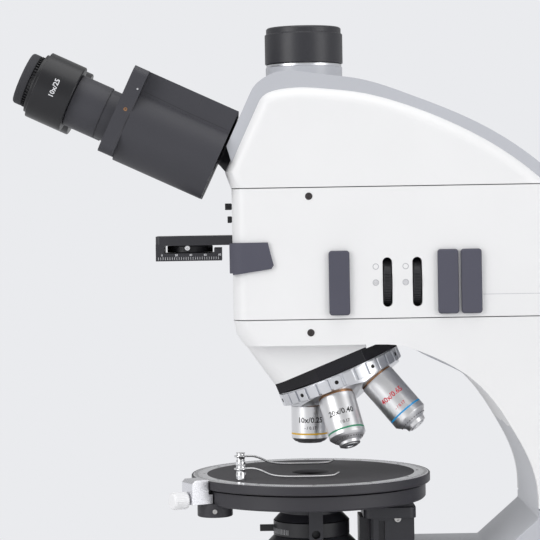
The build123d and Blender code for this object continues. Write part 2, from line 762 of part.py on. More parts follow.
def nosepiece_turret():
    """Rotating turret: grip ring, five seat facets and five objective bores."""
    ring = Pos(0, 0, TURRET_TOP) * Cylinder(TURRET_RADIUS, TURRET_RING, align=UP)
    cone = Pos(0, 0, TURRET_TOP + TURRET_RING) * Cylinder(TURRET_RADIUS - 2.5, 17, align=UP)
    turret = ring + cone
    turret = NOSE_FRAME * turret
    for index in range(STATIONS):
        beyond = station_plane(index, SHOULDER) * Cylinder(90, 40, align=UP)
        bore = station_plane(index, SHOULDER - 30) * Cylinder(PORT_THREAD, 40, align=UP)
        turret = turret - beyond - bore
    pin = NOSE_FRAME * Pos(0, 0, TURRET_TOP - 1) * Cylinder(PIVOT_RADIUS + HINGE_CLEARANCE, PIVOT_REACH + 1.6, align=UP)
    return turret - pin


def objective(index, length, nose_radius, shoulder_length):
    """Objective barrel with its thread, tapering to the front lens."""
    section = [
        (0, -THREAD_LENGTH),
        (PORT_THREAD - THREAD_GAP, -THREAD_LENGTH),
        (PORT_THREAD - THREAD_GAP, 0),
        (BARREL_RADIUS - 0.8, 0),
        (BARREL_RADIUS - 0.8, 1.0),
        (BARREL_RADIUS, 1.0),
        (BARREL_RADIUS, length - shoulder_length),
        (BARREL_RADIUS - 1.5, length - shoulder_length + 1.5),
        (nose_radius + 1.5, length - shoulder_length * 0.35),
        (nose_radius, length),
        (0, length),
    ]
    return station_plane(index, SHOULDER) * turned(section)


# Stage


def polar(radius, angle_deg, z):
    """Point on the stage at an angle from the front, turning to the right."""
    angle = radians(angle_deg)
    return (radius * sin(angle), -radius * cos(angle), z)


def stage_base():
    """Lower disc of the stage with the boss of the clamp."""
    top = STAGE_TOP - DISC_THICKNESS - STAGE_GAP
    height = top - STAGE_BASE_BOTTOM
    disc = Pos(0, 0, STAGE_BASE_BOTTOM) * Cylinder(STAGE_BASE_RADIUS, height, align=UP)
    disc = chamfer(disc.faces().sort_by(Axis.Z)[0].edges(), 1.0)
    race = Pos(0, 0, top) * Cylinder(40, STAGE_GAP - 0.3, align=UP)
    boss = Pos(*polar(70.7, VERNIER_DEG, STAGE_BASE_BOTTOM + 2)) * Cylinder(BOSS_RADIUS, 9, align=DOWN)
    bore = Pos(0, 0, 100) * Cylinder(STAGE_BORE, 100, align=UP)
    return disc + race + boss - bore


def stage_disc():
    """Rotating upper disc with a recess for the insert and the scale ring."""
    bottom = STAGE_TOP - DISC_THICKNESS
    section = [
        (STAGE_BORE, bottom),
        (DISC_RADIUS - 0.6, bottom),
        (DISC_RADIUS, bottom + 0.6),
        (DISC_RADIUS, STAGE_TOP - 0.5),
        (DISC_RADIUS - 0.5, STAGE_TOP),
        (DISC_RADIUS - 1.0, STAGE_TOP),
        (DISC_RADIUS - 1.0, STAGE_TOP - 1.0),
        (INSERT_RADIUS, STAGE_TOP - 1.0),
        (INSERT_RADIUS, STAGE_TOP - INSERT_THICKNESS),
        (STAGE_BORE, STAGE_TOP - INSERT_THICKNESS),
    ]
    return turned(section)


def stage_scale_ring():
    """Bright ring with the degree scale, let into the disc."""
    ring = Pos(0, 0, STAGE_TOP - 1.0) * Cylinder(DISC_RADIUS - 1.05, 1.0, align=UP)
    return ring - Pos(0, 0, STAGE_TOP - 2) * Cylinder(INSERT_RADIUS + 0.05, 3, align=UP)


def stage_insert():
    """Dark plate that carries the specimen, with the light hole."""
    plate = Pos(0, 0, STAGE_TOP - INSERT_THICKNESS) * Cylinder(INSERT_RADIUS - 0.05, INSERT_THICKNESS, align=UP)
    return plate - Pos(0, 0, STAGE_TOP - 5) * Cylinder(INSERT_HOLE, 9, align=UP)


def vernier_block():
    """Bright block beside the rim that carries the vernier and the clamp screw."""
    half = VERNIER_WIDTH / 2
    body = block(-half, half, -DISC_RADIUS - 12, -DISC_RADIUS - 0.4, STAGE_BASE_BOTTOM + 2, STAGE_TOP + 1)
    tongue = block(-half, half, -DISC_RADIUS - 1, -STAGE_BASE_RADIUS - 0.4, STAGE_BASE_BOTTOM + 2, STAGE_BASE_BOTTOM + 8)
    body += tongue
    body = chamfer(body.edges().filter_by(Axis.X).group_by(Axis.Z)[-1].sort_by(Axis.Y)[0], 2.0)
    hole = rod((0, -DISC_RADIUS - 14, STAGE_TOP - 12), (0, 1, 0), 2.5 + HINGE_CLEARANCE, 16)
    return Rot(0, 0, VERNIER_DEG) * (body - hole)


def stage_clamp_knob():
    """Small knob whose screw presses on the rim of the stage."""
    z = STAGE_TOP - 12
    start = -DISC_RADIUS - 12.6
    screw = rod((0, start, z), (0, 1, 0), 2.5, 12.0)
    knob = rod((0, start, z), (0, -1, 0), CLAMP_KNOB_RADIUS, 10.5)
    knob = chamfer(knob.faces().sort_by(Axis.Y)[0].edges(), 0.8)
    return Rot(0, 0, VERNIER_DEG) * (knob + screw)


def slide_clip(side):
    """Spring clip: a turned post and a bent wire that presses on the slide."""
    post = turned(
        [
            (0, STAGE_TOP + 0.05),
            (3.4, STAGE_TOP + 0.05),
            (3.0, STAGE_TOP + 6.0),
            (3.0, STAGE_TOP + CLIP_HEIGHT - 1.3),
            (4.4, STAGE_TOP + CLIP_HEIGHT - 1.3),
            (4.4, STAGE_TOP + CLIP_HEIGHT - 0.3),
            (3.6, STAGE_TOP + CLIP_HEIGHT),
            (0, STAGE_TOP + CLIP_HEIGHT),
        ]
    )
    post = Pos(0, CLIP_Y, 0) * post
    high = STAGE_TOP + CLIP_HEIGHT - 2.4
    low = STAGE_TOP + 1.4
    path = Polyline((0, CLIP_Y + 1, high), (0, -36, high), (0, -24, low), (0, 13, low), (0, 17.5, low + 2.6))
    section = Plane(origin=path @ 0, z_dir=path % 0) * RegularPolygon(CLIP_WIRE, 8)
    wire = sweep(section, path=path, transition=Transition.RIGHT)
    return Pos(side * CLIP_X, 0, 0) * (post + wire)


# Stage carrier, condenser and focus


def stage_carrier():
    """Black column under the stage, riding on the focus guide, with the condenser rail."""
    rear = PEDESTAL_FRONT_Y - SLIDE_GAP
    column = block(-CARRIER_HALF, CARRIER_HALF, CARRIER_FRONT_Y, rear - 4.5, CARRIER_BOTTOM, STAGE_BASE_BOTTOM - 10)
    column = chamfer(column.edges().filter_by(Axis.Z).group_by(Axis.Y)[0], 2.0)
    saddle = block(-CARRIER_HALF + 4, CARRIER_HALF - 4, rear - 6, rear, CARRIER_BOTTOM, PEDESTAL_TOP - 4)
    flange = block(
        -CARRIER_HALF - 3, CARRIER_HALF + 3, CARRIER_FRONT_Y - 4.5, rear - 3.2, STAGE_BASE_BOTTOM - 11, STAGE_BASE_BOTTOM - 4
    )
    flange = fillet(flange.edges().filter_by(Axis.Z), 5)
    neck = block(-CARRIER_HALF, CARRIER_HALF, CARRIER_FRONT_Y - 2, rear - 5, STAGE_BASE_BOTTOM - 5, STAGE_BASE_BOTTOM)
    rail = block(-RAIL_HALF, RAIL_HALF, CARRIER_FRONT_Y - RAIL_DEPTH, CARRIER_FRONT_Y + 1, CARRIER_BOTTOM + 3, STAGE_BASE_BOTTOM - 12)
    slot = block(
        -GUIDE_HALF - SLIDE_GAP,
        GUIDE_HALF + SLIDE_GAP,
        PEDESTAL_FRONT_Y - GUIDE_DEPTH - SLIDE_GAP,
        rear + 1,
        CARRIER_BOTTOM - 1,
        PEDESTAL_TOP - 6 + LIFT_DOWN + 1,
    )
    groove = block(CARRIER_HALF - 3, CARRIER_HALF + 1, 42.7, 46.6, CARRIER_BOTTOM - 1, STAGE_BASE_BOTTOM - 13)
    return column + saddle + flange + neck + rail - slot - groove


def condenser_holder():
    """Ring and arm that carry the condenser on the rail of the carrier."""
    ring = turned(
        [
            (CONDENSER_SLEEVE + 0.1, HOLDER_BOTTOM),
            (CONDENSER_SLEEVE + HOLDER_WALL, HOLDER_BOTTOM),
            (CONDENSER_SLEEVE + HOLDER_WALL, HOLDER_TOP),
            (CONDENSER_SLEEVE + 0.1, HOLDER_TOP),
        ]
    )
    arm = block(-RAIL_HALF - 6, RAIL_HALF + 6, 24, CARRIER_FRONT_Y - SLIDE_GAP, HOLDER_BOTTOM, HOLDER_TOP)
    bore = Pos(0, 0, 100) * Cylinder(CONDENSER_SLEEVE + 0.1, 60, align=UP)
    slot = block(
        -RAIL_HALF - SLIDE_GAP,
        RAIL_HALF + SLIDE_GAP,
        CARRIER_FRONT_Y - RAIL_DEPTH - SLIDE_GAP,
        CARRIER_FRONT_Y + 1,
        100,
        140,
    )
    spindle = rod((-60, 28.0, 118), (1, 0, 0), 3.0 + HINGE_CLEARANCE, 60)
    return ring + arm - bore - slot - spindle


def condenser_knob():
    """Small height knob of the condenser on the left of its holder."""
    x = -CONDENSER_SLEEVE - HOLDER_WALL - 1.0
    knob = rod((x, 28.0, 118), (-1, 0, 0), 8.0, 12)
    knob = chamfer(knob.faces().sort_by(Axis.X)[0].edges(), 1.0)
    return knob + rod((x, 28.0, 118), (1, 0, 0), 3.0, 18)


def condenser_body():
    """Condenser with its top lens mount, sleeve and the lever that swings the top lens."""
    section = [
        (0, POLARIZER_BOTTOM + 1),
        (18, POLARIZER_BOTTOM + 1),
        (18, HOLDER_BOTTOM - 1.0),
        (CONDENSER_SLEEVE, HOLDER_BOTTOM - 1.0),
        (CONDENSER_SLEEVE, HOLDER_TOP + 0.5),
        (CONDENSER_RADIUS, HOLDER_TOP + 0.5),
        (CONDENSER_RADIUS, IRIS_BOTTOM - 5),
        (IRIS_RADIUS - 0.5, IRIS_BOTTOM - 0.4),
        (IRIS_RADIUS - 4, IRIS_BOTTOM - 0.4),
        (IRIS_RADIUS - 4, IRIS_TOP + 0.4),
        (IRIS_RADIUS - 0.5, IRIS_TOP + 0.4),
        (CONDENSER_NECK, IRIS_TOP + 5),
        (CONDENSER_NECK, STAGE_BASE_BOTTOM - 1),
        (15, STAGE_BASE_BOTTOM + 6),
        (9, STAGE_TOP - INSERT_THICKNESS - 1.5),
        (0, STAGE_TOP - INSERT_THICKNESS - 1.5),
    ]
    body = turned(section)
    lever = block(IRIS_RADIUS + 0.8, IRIS_RADIUS + 4.5, -2.5, -2.5 + LEVER_WIDTH, IRIS_BOTTOM - 7, IRIS_TOP + 9)
    lever += block(CONDENSER_NECK - 1, IRIS_RADIUS + 4.5, -2.5, -2.5 + LEVER_WIDTH, IRIS_TOP + 4, IRIS_TOP + 9)
    lever -= rod((IRIS_RADIUS - 2, 2.0, IRIS_BOTTOM + 3.0), (1, 0, 0), 2.8, 10)
    foot = block(CONDENSER_RADIUS - 6, IRIS_RADIUS + 4.5, -2.5, -2.5 + LEVER_WIDTH, IRIS_BOTTOM - 9, IRIS_BOTTOM - 5)
    return body + lever + foot


def aperture_ring():
    """Ring that opens and closes the diaphragm of the condenser."""
    section = [
        (IRIS_RADIUS - 3.9, IRIS_BOTTOM),
        (IRIS_RADIUS, IRIS_BOTTOM),
        (IRIS_RADIUS, IRIS_TOP),
        (IRIS_RADIUS - 3.9, IRIS_TOP),
    ]
    tab = block(-2.2, 2.2, -IRIS_RADIUS - 9, -IRIS_RADIUS + 1, IRIS_BOTTOM + 2, IRIS_BOTTOM + 6)
    return turned(section) + tab


def polarizer_ring():
    """Rotating polarizer in its mount under the condenser."""
    section = [
        (0, POLARIZER_BOTTOM - 1),
        (POLARIZER_RADIUS - 2, POLARIZER_BOTTOM - 1),
        (POLARIZER_RADIUS, POLARIZER_BOTTOM + 1),
        (POLARIZER_RADIUS, HOLDER_BOTTOM - 1.4),
        (18.1, HOLDER_BOTTOM - 1.4),
        (18.1, POLARIZER_BOTTOM + 0.7),
        (0, POLARIZER_BOTTOM + 0.7),
    ]
    return turned(section)


def coarse_knobs():
    """Both coarse knobs on their common hollow shaft."""
    start = BODY_HALF + TENSION_LENGTH + 0.8
    shaft = rod((-start - 1, FOCUS_Y, FOCUS_Z), (1, 0, 0), COARSE_SHAFT, 2 * start + 2)
    knobs = shaft
    for side in (-1, 1):
        knob = rod((side * start, FOCUS_Y, FOCUS_Z), (side, 0, 0), COARSE_RADIUS, COARSE_LENGTH)
        knob = chamfer(knob.faces().sort_by(Axis.X)[-1 if side > 0 else 0].edges(), 1.5)
        knobs += knob
    bore = rod((-200, FOCUS_Y, FOCUS_Z), (1, 0, 0), FINE_SHAFT + HINGE_CLEARANCE, 400)
    return knobs - bore


def fine_knobs():
    """Both fine knobs on the shaft inside the coarse one."""
    start = BODY_HALF + TENSION_LENGTH + 0.8 + COARSE_LENGTH + 0.5
    fine = rod((-start - 1, FOCUS_Y, FOCUS_Z), (1, 0, 0), FINE_SHAFT, 2 * start + 2)
    for side in (-1, 1):
        knob = rod((side * start, FOCUS_Y, FOCUS_Z), (side, 0, 0), FINE_RADIUS, FINE_LENGTH)
        fine += chamfer(knob.faces().sort_by(Axis.X)[-1 if side > 0 else 0].edges(), 1.2)
    return fine


def tension_ring():
    """Ring between the right coarse knob and the stand that sets the drag."""
    ring = rod((BODY_HALF + 0.4, FOCUS_Y, FOCUS_Z), (1, 0, 0), TENSION_RADIUS, TENSION_LENGTH - 0.4)
    return ring - rod((BODY_HALF, FOCUS_Y, FOCUS_Z), (1, 0, 0), COARSE_SHAFT + HINGE_CLEARANCE, 20)


def illuminator_block():
    """Black casting in the middle storey with the light channel and all slider slots."""
    floor = SEAM_LOW + FRAME_WALL
    body = block(-BLOCK_HALF, FRAME_HALF - 1, BLOCK_FRONT_Y, BLOCK_BACK_Y, floor, BLOCK_TOP)
    body -= rod((0, 0, LAMP_AXIS_Z), (0, 1, 0), 11, 150)
    for y in WHEELS_Y:
        pocket = rod((WHEEL_CENTRE_X, y - WHEEL_WIDTH / 2 - 0.4, LAMP_AXIS_Z), (0, 1, 0), WHEEL_RADIUS + 0.6, WHEEL_WIDTH + 0.8)
        body -= pocket
        body -= block(WHEEL_CENTRE_X, 60, y - 2.9, y + 2.9, LAMP_AXIS_Z - 17, LAMP_AXIS_Z + 17)
        body += rod((WHEEL_CENTRE_X, y - 4, LAMP_AXIS_Z), (0, 1, 0), 3.0, 8)
    for y in (POLARIZER_SLIDER_Y, *FILTER_SLIDERS_Y):
        body -= slider_plate(y, SLIDE_GAP, 80)
    return body


def slider_plate(y, gap, length):
    """Sliding plate behind a pad, as a solid or, with a gap, as the slot it runs in."""
    half = SLIDER_PLATE / 2 + gap
    height = PAD_HEIGHT / 2 - 3 + gap
    return block(BODY_HALF + 1 - length, BODY_HALF + 1, y - half, y + half, LAMP_AXIS_Z - height, LAMP_AXIS_Z + height)


def slider(y):
    """Push-pull slider: filter plate with a round window and a soft end pad."""
    plate = slider_plate(y, 0, 78)
    plate -= rod((0, y - 10, LAMP_AXIS_Z), (0, 1, 0), 11.0, 20)
    face = Plane(origin=(BODY_HALF + 0.4, y, LAMP_AXIS_Z), x_dir=(0, 1, 0), z_dir=(1, 0, 0)) * RectangleRounded(
        PAD_WIDTH, PAD_HEIGHT, PAD_RADIUS
    )
    pad = extrude(face, amount=PAD_PROUD)
    pad = chamfer(pad.faces().sort_by(Axis.X)[-1].edges(), 0.8)
    return plate + pad


def iris_wheel(y):
    """Thumbwheel that works a diaphragm in the light channel."""
    wheel = rod((WHEEL_CENTRE_X, y - WHEEL_WIDTH / 2, LAMP_AXIS_Z), (0, 1, 0), WHEEL_RADIUS, WHEEL_WIDTH)
    return wheel - rod((WHEEL_CENTRE_X, y - 5, LAMP_AXIS_Z), (0, 1, 0), 3.0 + HINGE_CLEARANCE, 10)


def analyzer_slider():
    """Analyzer slider: flat frame that enters the front, with the angle scale below."""
    frame = block(-ANALYZER_HALF, ANALYZER_HALF, ANALYZER_FRONT_Y, 24, ANALYZER_TOP - 6.0, ANALYZER_TOP)
    frame = fillet(frame.edges().filter_by(Axis.Z).group_by(Axis.Y)[0], 3)
    scale = block(-ANALYZER_HALF, ANALYZER_HALF, ANALYZER_FRONT_Y, -56, ANALYZER_TOP - 16.0, ANALYZER_TOP - 11.0)
    scale -= Pos(0, ANALYZER_DISC_Y, 300) * Cylinder(9, 60, align=UP)
    stop = block(-ANALYZER_HALF, ANALYZER_HALF, -61, -56, ANALYZER_TOP - 12, ANALYZER_TOP - 8)
    web = block(-ANALYZER_HALF, ANALYZER_HALF, ANALYZER_FRONT_Y, ANALYZER_FRONT_Y + 5.5, ANALYZER_TOP - 12, ANALYZER_TOP - 5)
    window = Pos(0, ANALYZER_DISC_Y, 300) * Cylinder(12, 60, align=UP)
    light = Pos(0, 0, 300) * Cylinder(12, 60, align=UP)
    frame = frame - window - light
    frame += scale + stop + web
    return frame


def analyzer_disc():
    """Disc of the analyzer, turned by its rim between frame and scale."""
    disc = Pos(0, ANALYZER_DISC_Y, ANALYZER_TOP - 10.6) * Cylinder(ANALYZER_DISC_RADIUS, 4.2, align=UP)
    neck = Pos(0, ANALYZER_DISC_Y, ANALYZER_TOP - 6.5) * Cylinder(12 - HINGE_CLEARANCE, 5.0, align=UP)
    return disc + neck


def slot_slider(z, front, reach, half):
    """Flat slider in a front slot, with its finger tab outside."""
    tab = block(-half, half, front, FRONT_Y - 0.4, z, z + 4.3)
    blade = block(-half + 1.5, half - 1.5, FRONT_Y - 1, reach, z + 0.4, z + 3.9)
    wing = block(half - 4, half, FRONT_Y - 1.0, FRONT_Y - 0.4, z, z + 4.3)
    return tab + blade + wing


def corner_grip():
    """Soft grip wrapped round the right front corner of the middle storey."""
    outline = polygon(
        [(-49.0, 340.5), (-26.5, 340.5), (-24.8, 333.0), (-23.0, 326.0), (-24.5, 323.6), (-49.0, 320.0)]
    )
    outer = extrude(Plane.YZ * outline, amount=BODY_HALF + 2.0)
    outer += block(36, BODY_HALF + 2, FRONT_Y - 2.0, FRONT_Y + 4, 321, 340)
    outer = fillet(outer.edges().filter_by(Axis.Z).group_by(Axis.Y)[0].sort_by(Axis.X)[-1], 9)
    body = block(-BODY_HALF, BODY_HALF, FRONT_Y, 60, 300, 360)
    body = fillet(body.edges().filter_by(Axis.Z).group_by(Axis.Y)[0], FRONT_EDGE_RADIUS)
    keep = block(36, 80, -80, 0, 300, 360)
    return (outer & keep) - body


def light_path_rod():
    """Pull rod on the left of the head that sends the light to eyes or camera."""
    shaft = rod((-BODY_HALF - 8, ROD_Y, ROD_Z), (1, 0, 0), ROD_RADIUS, 38)
    knob = rod((-BODY_HALF - 1, ROD_Y, ROD_Z), (-1, 0, 0), 6.5, 14)
    knob = chamfer(knob.faces().sort_by(Axis.X)[0].edges(), 1.2)
    return shaft + knob


OBJECTIVES = (
    ("objective_10x", 0, 25.3, 8.0, 4.0),
    ("objective_20x", 1, 34.5, 6.0, 7.0),
    ("objective_40x", 2, 41.5, 6.0, 9.0),
    ("objective_5x", 4, 22.0, 9.5, 3.0),
)

PARTS = {
    "base_housing": base_housing,
    "base_plate": base_plate,
    "rubber_feet": rubber_feet,
    "field_lens_collar": field_lens_collar,
    "field_lens": field_lens,
    "power_inlet": power_inlet,
    "power_rocker": power_rocker,
    "dimmer_knob": dimmer_knob,
    "stand_frame": stand_frame,
    "stand_cover": stand_cover,
    "illuminator_frame": illuminator_frame,
    "illuminator_cover": illuminator_cover,
    "illuminator_block": illuminator_block,
    "head_frame": head_frame,
    "head_cover": head_cover,
    "cover_screws": cover_screws,
    "corner_grip": corner_grip,
    "light_path_rod": light_path_rod,
    "photo_port_tube": photo_port_tube,
    "photo_port_cap": photo_port_cap,
    "eyetube_flange": eyetube_flange,
    "nosepiece_seat": nosepiece_seat,
    "nosepiece_turret": nosepiece_turret,
    "stage_base": stage_base,
    "stage_disc": stage_disc,
    "stage_scale_ring": stage_scale_ring,
    "stage_insert": stage_insert,
    "vernier_block": vernier_block,
    "stage_clamp_knob": stage_clamp_knob,
    "stage_carrier": stage_carrier,
    "condenser_holder": condenser_holder,
    "condenser_knob": condenser_knob,
    "condenser_body": condenser_body,
    "aperture_ring": aperture_ring,
    "polarizer_ring": polarizer_ring,
    "coarse_knobs": coarse_knobs,
    "fine_knobs": fine_knobs,
    "tension_ring": tension_ring,
    "analyzer_slider": analyzer_slider,
    "analyzer_disc": analyzer_disc,
}


def build_all():
    """Every sub-part of the microscope by its name."""
    parts = {name: make() for name, make in PARTS.items()}
    for side, word in ((1, "right"), (-1, "left")):
        parts[f"tube_housing_{word}"] = tube_half(side)
        parts[f"eyepiece_{word}"] = eyepiece(side)
        parts[f"eyecup_{word}"] = eyecup(side)
        parts[f"slide_clip_{word}"] = slide_clip(side)
    for name, index, length, nose_radius, shoulder_length in OBJECTIVES:
        parts[name] = objective(index, length, nose_radius, shoulder_length)
    parts["polarizer_slider"] = slider(POLARIZER_SLIDER_Y)
    parts["filter_slider_front"] = slider(FILTER_SLIDERS_Y[0])
    parts["filter_slider_rear"] = slider(FILTER_SLIDERS_Y[1])
    parts["field_iris_wheel"] = iris_wheel(WHEELS_Y[0])
    parts["aperture_iris_wheel"] = iris_wheel(WHEELS_Y[1])
    parts["compensator_slider"] = slot_slider(UPPER_TAB_Z, -53.5, 24, TAB_HALF)
    parts["bertrand_lens_slider"] = slot_slider(LOWER_TAB_Z, -52.0, 24, TAB_HALF)
    return parts


os.makedirs("parts", exist_ok=True)
for name, shape in build_all().items():
    export_step(shape, f"parts/{name}.step")
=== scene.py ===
"""Looks of a polarizing microscope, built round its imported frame.

Lengths are millimetres until a mesh is finished, when it is brought to metres.
Origin: the point of the table under the optical axis. +Z up, the user sits at -Y.
"""
import json
import logging
from dataclasses import dataclass, field
from enum import IntEnum
from math import atan2, cos, hypot, pi, radians, sin, sqrt, tau
from typing import Iterable, Sequence

import bmesh
import bpy
from mathutils import Matrix, Vector
from mathutils.bvhtree import BVHTree

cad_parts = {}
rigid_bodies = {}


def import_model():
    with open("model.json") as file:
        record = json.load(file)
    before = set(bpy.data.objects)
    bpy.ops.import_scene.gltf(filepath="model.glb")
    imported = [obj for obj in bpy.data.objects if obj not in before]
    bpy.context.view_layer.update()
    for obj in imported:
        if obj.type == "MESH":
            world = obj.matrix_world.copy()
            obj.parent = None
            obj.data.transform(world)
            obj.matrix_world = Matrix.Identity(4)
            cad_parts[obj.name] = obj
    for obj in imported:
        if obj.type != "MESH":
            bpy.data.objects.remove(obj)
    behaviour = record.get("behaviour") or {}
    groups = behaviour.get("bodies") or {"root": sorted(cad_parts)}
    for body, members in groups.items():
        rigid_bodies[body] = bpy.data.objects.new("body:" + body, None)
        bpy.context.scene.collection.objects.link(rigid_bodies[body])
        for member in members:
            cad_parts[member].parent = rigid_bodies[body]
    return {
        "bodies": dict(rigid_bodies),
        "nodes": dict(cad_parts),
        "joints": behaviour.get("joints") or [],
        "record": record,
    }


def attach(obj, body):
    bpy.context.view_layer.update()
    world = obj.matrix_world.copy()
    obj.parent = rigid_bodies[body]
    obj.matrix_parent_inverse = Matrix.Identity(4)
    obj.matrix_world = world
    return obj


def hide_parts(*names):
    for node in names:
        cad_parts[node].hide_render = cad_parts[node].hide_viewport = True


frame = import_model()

log = logging.getLogger("microscope")

MM = 0.001

# Heights and places shared with the frame
STAGE_TOP = 188.0
HEAD_TILT = radians(25.0)
HEAD_PIVOT = Vector((0.0, -51.7, 406.6))
TUBE_X = 32.2
TUBE_DROP = 16.54
NOSE_TILT = radians(22.0)
NOSE_APEX = 302.0
SHOULDER = 69.0
STATIONS = 5
BODY_HALF = 53.0
LAMP_Z = 314.0

# Limits of mesh making
WELD = 0.004
FLAT_ANGLE = 0.6
SHARP_ANGLE = 35.0
RAY_START = 200.0
SEAM_STEP = 1.5
SEAM_PROUD = 0.06

Color = tuple[float, float, float]
Point = tuple[float, float]
Profile = list[Point]
Mesh = bmesh.types.BMesh


def srgb(r: int, g: int, b: int) -> Color:
    """Linear colour of an 8-bit display colour."""
    def linear(v: int) -> float:
        """Linear value of one channel."""
        s = v / 255.0
        return s / 12.92 if s <= 0.04045 else ((s + 0.055) / 1.055) ** 2.4
    return (linear(r), linear(g), linear(b))


class Side(IntEnum):
    """Hand of the object, as the sign of its X."""

    RIGHT = 1
    LEFT = -1

    @property
    def word(self) -> str:
        """Its name as the frame's nodes give it."""
        return self.name.lower()


# Shader writing


class Wire:
    """One shader socket that takes part in Python arithmetic."""

    def __init__(self, shader: "Shader", socket: bpy.types.NodeSocket) -> None:
        """Keeps the socket and the tree that it belongs to.

        Args:
            shader: tree that new nodes are added to.
            socket: output socket of a node.
        """
        self.shader = shader
        self.socket = socket

    def _math(self, operation: str, *values: "Wire | float") -> "Wire":
        """Adds one Math node.

        Args:
            operation: name of the Math node's operation.
            values: its inputs in order.

        Returns:
            The node's output.
        """
        return self.shader.node("ShaderNodeMath", {"operation": operation}, dict(enumerate(values)))

    def __add__(self, other: "Wire | float") -> "Wire":
        """Sum."""
        return self._math("ADD", self, other)

    __radd__ = __add__

    def __sub__(self, other: "Wire | float") -> "Wire":
        """Difference."""
        return self._math("SUBTRACT", self, other)

    def __mul__(self, other: "Wire | float") -> "Wire":
        """Product."""
        return self._math("MULTIPLY", self, other)

    __rmul__ = __mul__

    def clipped(self, low: float, high: float) -> "Wire":
        """The value held between two limits."""
        return self._math("MINIMUM", self._math("MAXIMUM", self, low), high)

    def step(self, low: float, high: float) -> "Wire":
        """0 below the lower limit, 1 above the upper one, smooth between."""
        limits = {"From Min": low, "From Max": high, "Value": self}
        return self.shader.node("ShaderNodeMapRange", {"interpolation_type": "SMOOTHSTEP"}, limits)


class Shader:
    """Node tree of one material."""

    def __init__(self, name: str) -> None:
        """Starts an empty material.

        Args:
            name: name of the material.
        """
        self.material = bpy.data.materials.new(name)
        self.material.use_nodes = True
        self.tree = self.material.node_tree
        self.tree.nodes.clear()

    def node(
        self, kind: str, settings: dict | None = None, inputs: dict | None = None, output: int | str = 0
    ) -> Wire:
        """Adds a node.

        Args:
            kind: type of the node.
            settings: attributes, set first; a ramp's stops come as "stops".
            inputs: values or wires by socket name or number.
            output: name or number of the wanted output.

        Returns:
            The wanted output as a wire.
        """
        made = self.tree.nodes.new(kind)
        for key, value in (settings or {}).items():
            if key == "stops":
                self._stops(made.color_ramp, value)
            else:
                setattr(made, key, value)
        for key, value in (inputs or {}).items():
            socket = made.inputs[key]
            if isinstance(value, Wire):
                self.tree.links.new(value.socket, socket)
            elif isinstance(value, tuple) and socket.type == "RGBA":
                socket.default_value = (*value, 1.0)
            else:
                socket.default_value = value
        return Wire(self, made.outputs[output])

    @staticmethod
    def _stops(ramp: bpy.types.ColorRamp, stops: Sequence[tuple[float, Color]]) -> None:
        """Sets the stops of a colour ramp.

        Args:
            ramp: the ramp.
            stops: position and colour of each stop.
        """
        while len(ramp.elements) < len(stops):
            ramp.elements.new(0.5)
        for element, (position, color) in zip(ramp.elements, stops):
            element.position = position
            element.color = (*color, 1.0)

    def place(self, scale: Sequence[float] = (1.0, 1.0, 1.0)) -> Wire:
        """Object coordinates, stretched by a scale for each axis."""
        coords = self.node("ShaderNodeTexCoord", output="Object")
        return self.node("ShaderNodeMapping", None, {"Vector": coords, "Scale": tuple(scale)})

    def turned_place(self, scale: Sequence[float]) -> Wire:
        """The piece's own map, round the axis and along it, stretched by a scale."""
        coords = self.node("ShaderNodeUVMap", {"uv_map": TURNED_MAP})
        return self.node("ShaderNodeMapping", None, {"Vector": coords, "Scale": tuple(scale)})

    def noise(self, where: Wire, scale: float, detail: float = 3.0, roughness: float = 0.5) -> Wire:
        """Noise between 0 and 1."""
        inputs = {"Vector": where, "Scale": scale, "Detail": detail, "Roughness": roughness}
        return self.node("ShaderNodeTexNoise", None, inputs)

    def mix(self, factor: Wire | float, a: Wire | Color, b: Wire | Color) -> Wire:
        """Colour between a and b."""
        return self.node("ShaderNodeMix", {"data_type": "RGBA"}, {0: factor, 6: a, 7: b}, 2)

    def bump(self, height: Wire, depth: float, strength: float = 1.0) -> Wire:
        """Normal bent by a height; depth is the height of 1 in metres."""
        return self.node("ShaderNodeBump", None, {"Height": height, "Distance": depth, "Strength": strength})

    def surface(self, **inputs: Wire | float | Color) -> bpy.types.Material:
        """Closes the tree with one Principled shader.

        Args:
            inputs: sockets by name, with underscores for blanks.

        Returns:
            The finished material.
        """
        named = {key.replace("_", " "): value for key, value in inputs.items()}
        shader = self.node("ShaderNodeBsdfPrincipled", None, named)
        self.node_output(shader)
        return self.material

    def node_output(self, shader: Wire) -> None:
        """Links a shader to the material's output."""
        made = self.tree.nodes.new("ShaderNodeOutputMaterial")
        self.tree.links.new(shader.socket, made.inputs["Surface"])


# Finishes

TURNED_MAP = "turned"


@dataclass(frozen=True)
class Finish:
    """One surface finish; its material is made once and shared."""

    name: str
    color: Color
    slot: str

    def material(self) -> bpy.types.Material:
        """The finish as a material."""
        return bpy.data.materials.get(self.name) or self.build(Shader(self.name))

    def build(self, shader: Shader) -> bpy.types.Material:
        """Fills the node tree; each kind of finish has its own.

        Args:
            shader: empty tree.

        Returns:
            The material.
        """
        raise NotImplementedError


@dataclass(frozen=True)
class Paint(Finish):
    """Sprayed and baked paint with a slight orange peel."""

    roughness: float = 0.38
    peel: float = 0.00003
    coat: float = 0.15

    def build(self, shader: Shader) -> bpy.types.Material:
        """Fills the node tree."""
        where = shader.place()
        clouds = shader.noise(where, 9.0, 2.0)
        peel = shader.noise(where, 420.0, 2.0)
        dust = shader.noise(where, 2600.0, 1.0)
        darker = tuple(c * 0.965 for c in self.color)
        return shader.surface(
            Base_Color=shader.mix(clouds.step(0.3, 0.7), darker, self.color),
            Roughness=self.roughness + (clouds - 0.5) * 0.10 + (dust - 0.5) * 0.05,
            Coat_Weight=self.coat,
            Coat_Roughness=0.2,
            Normal=shader.bump(peel + dust * 0.25, self.peel),
        )


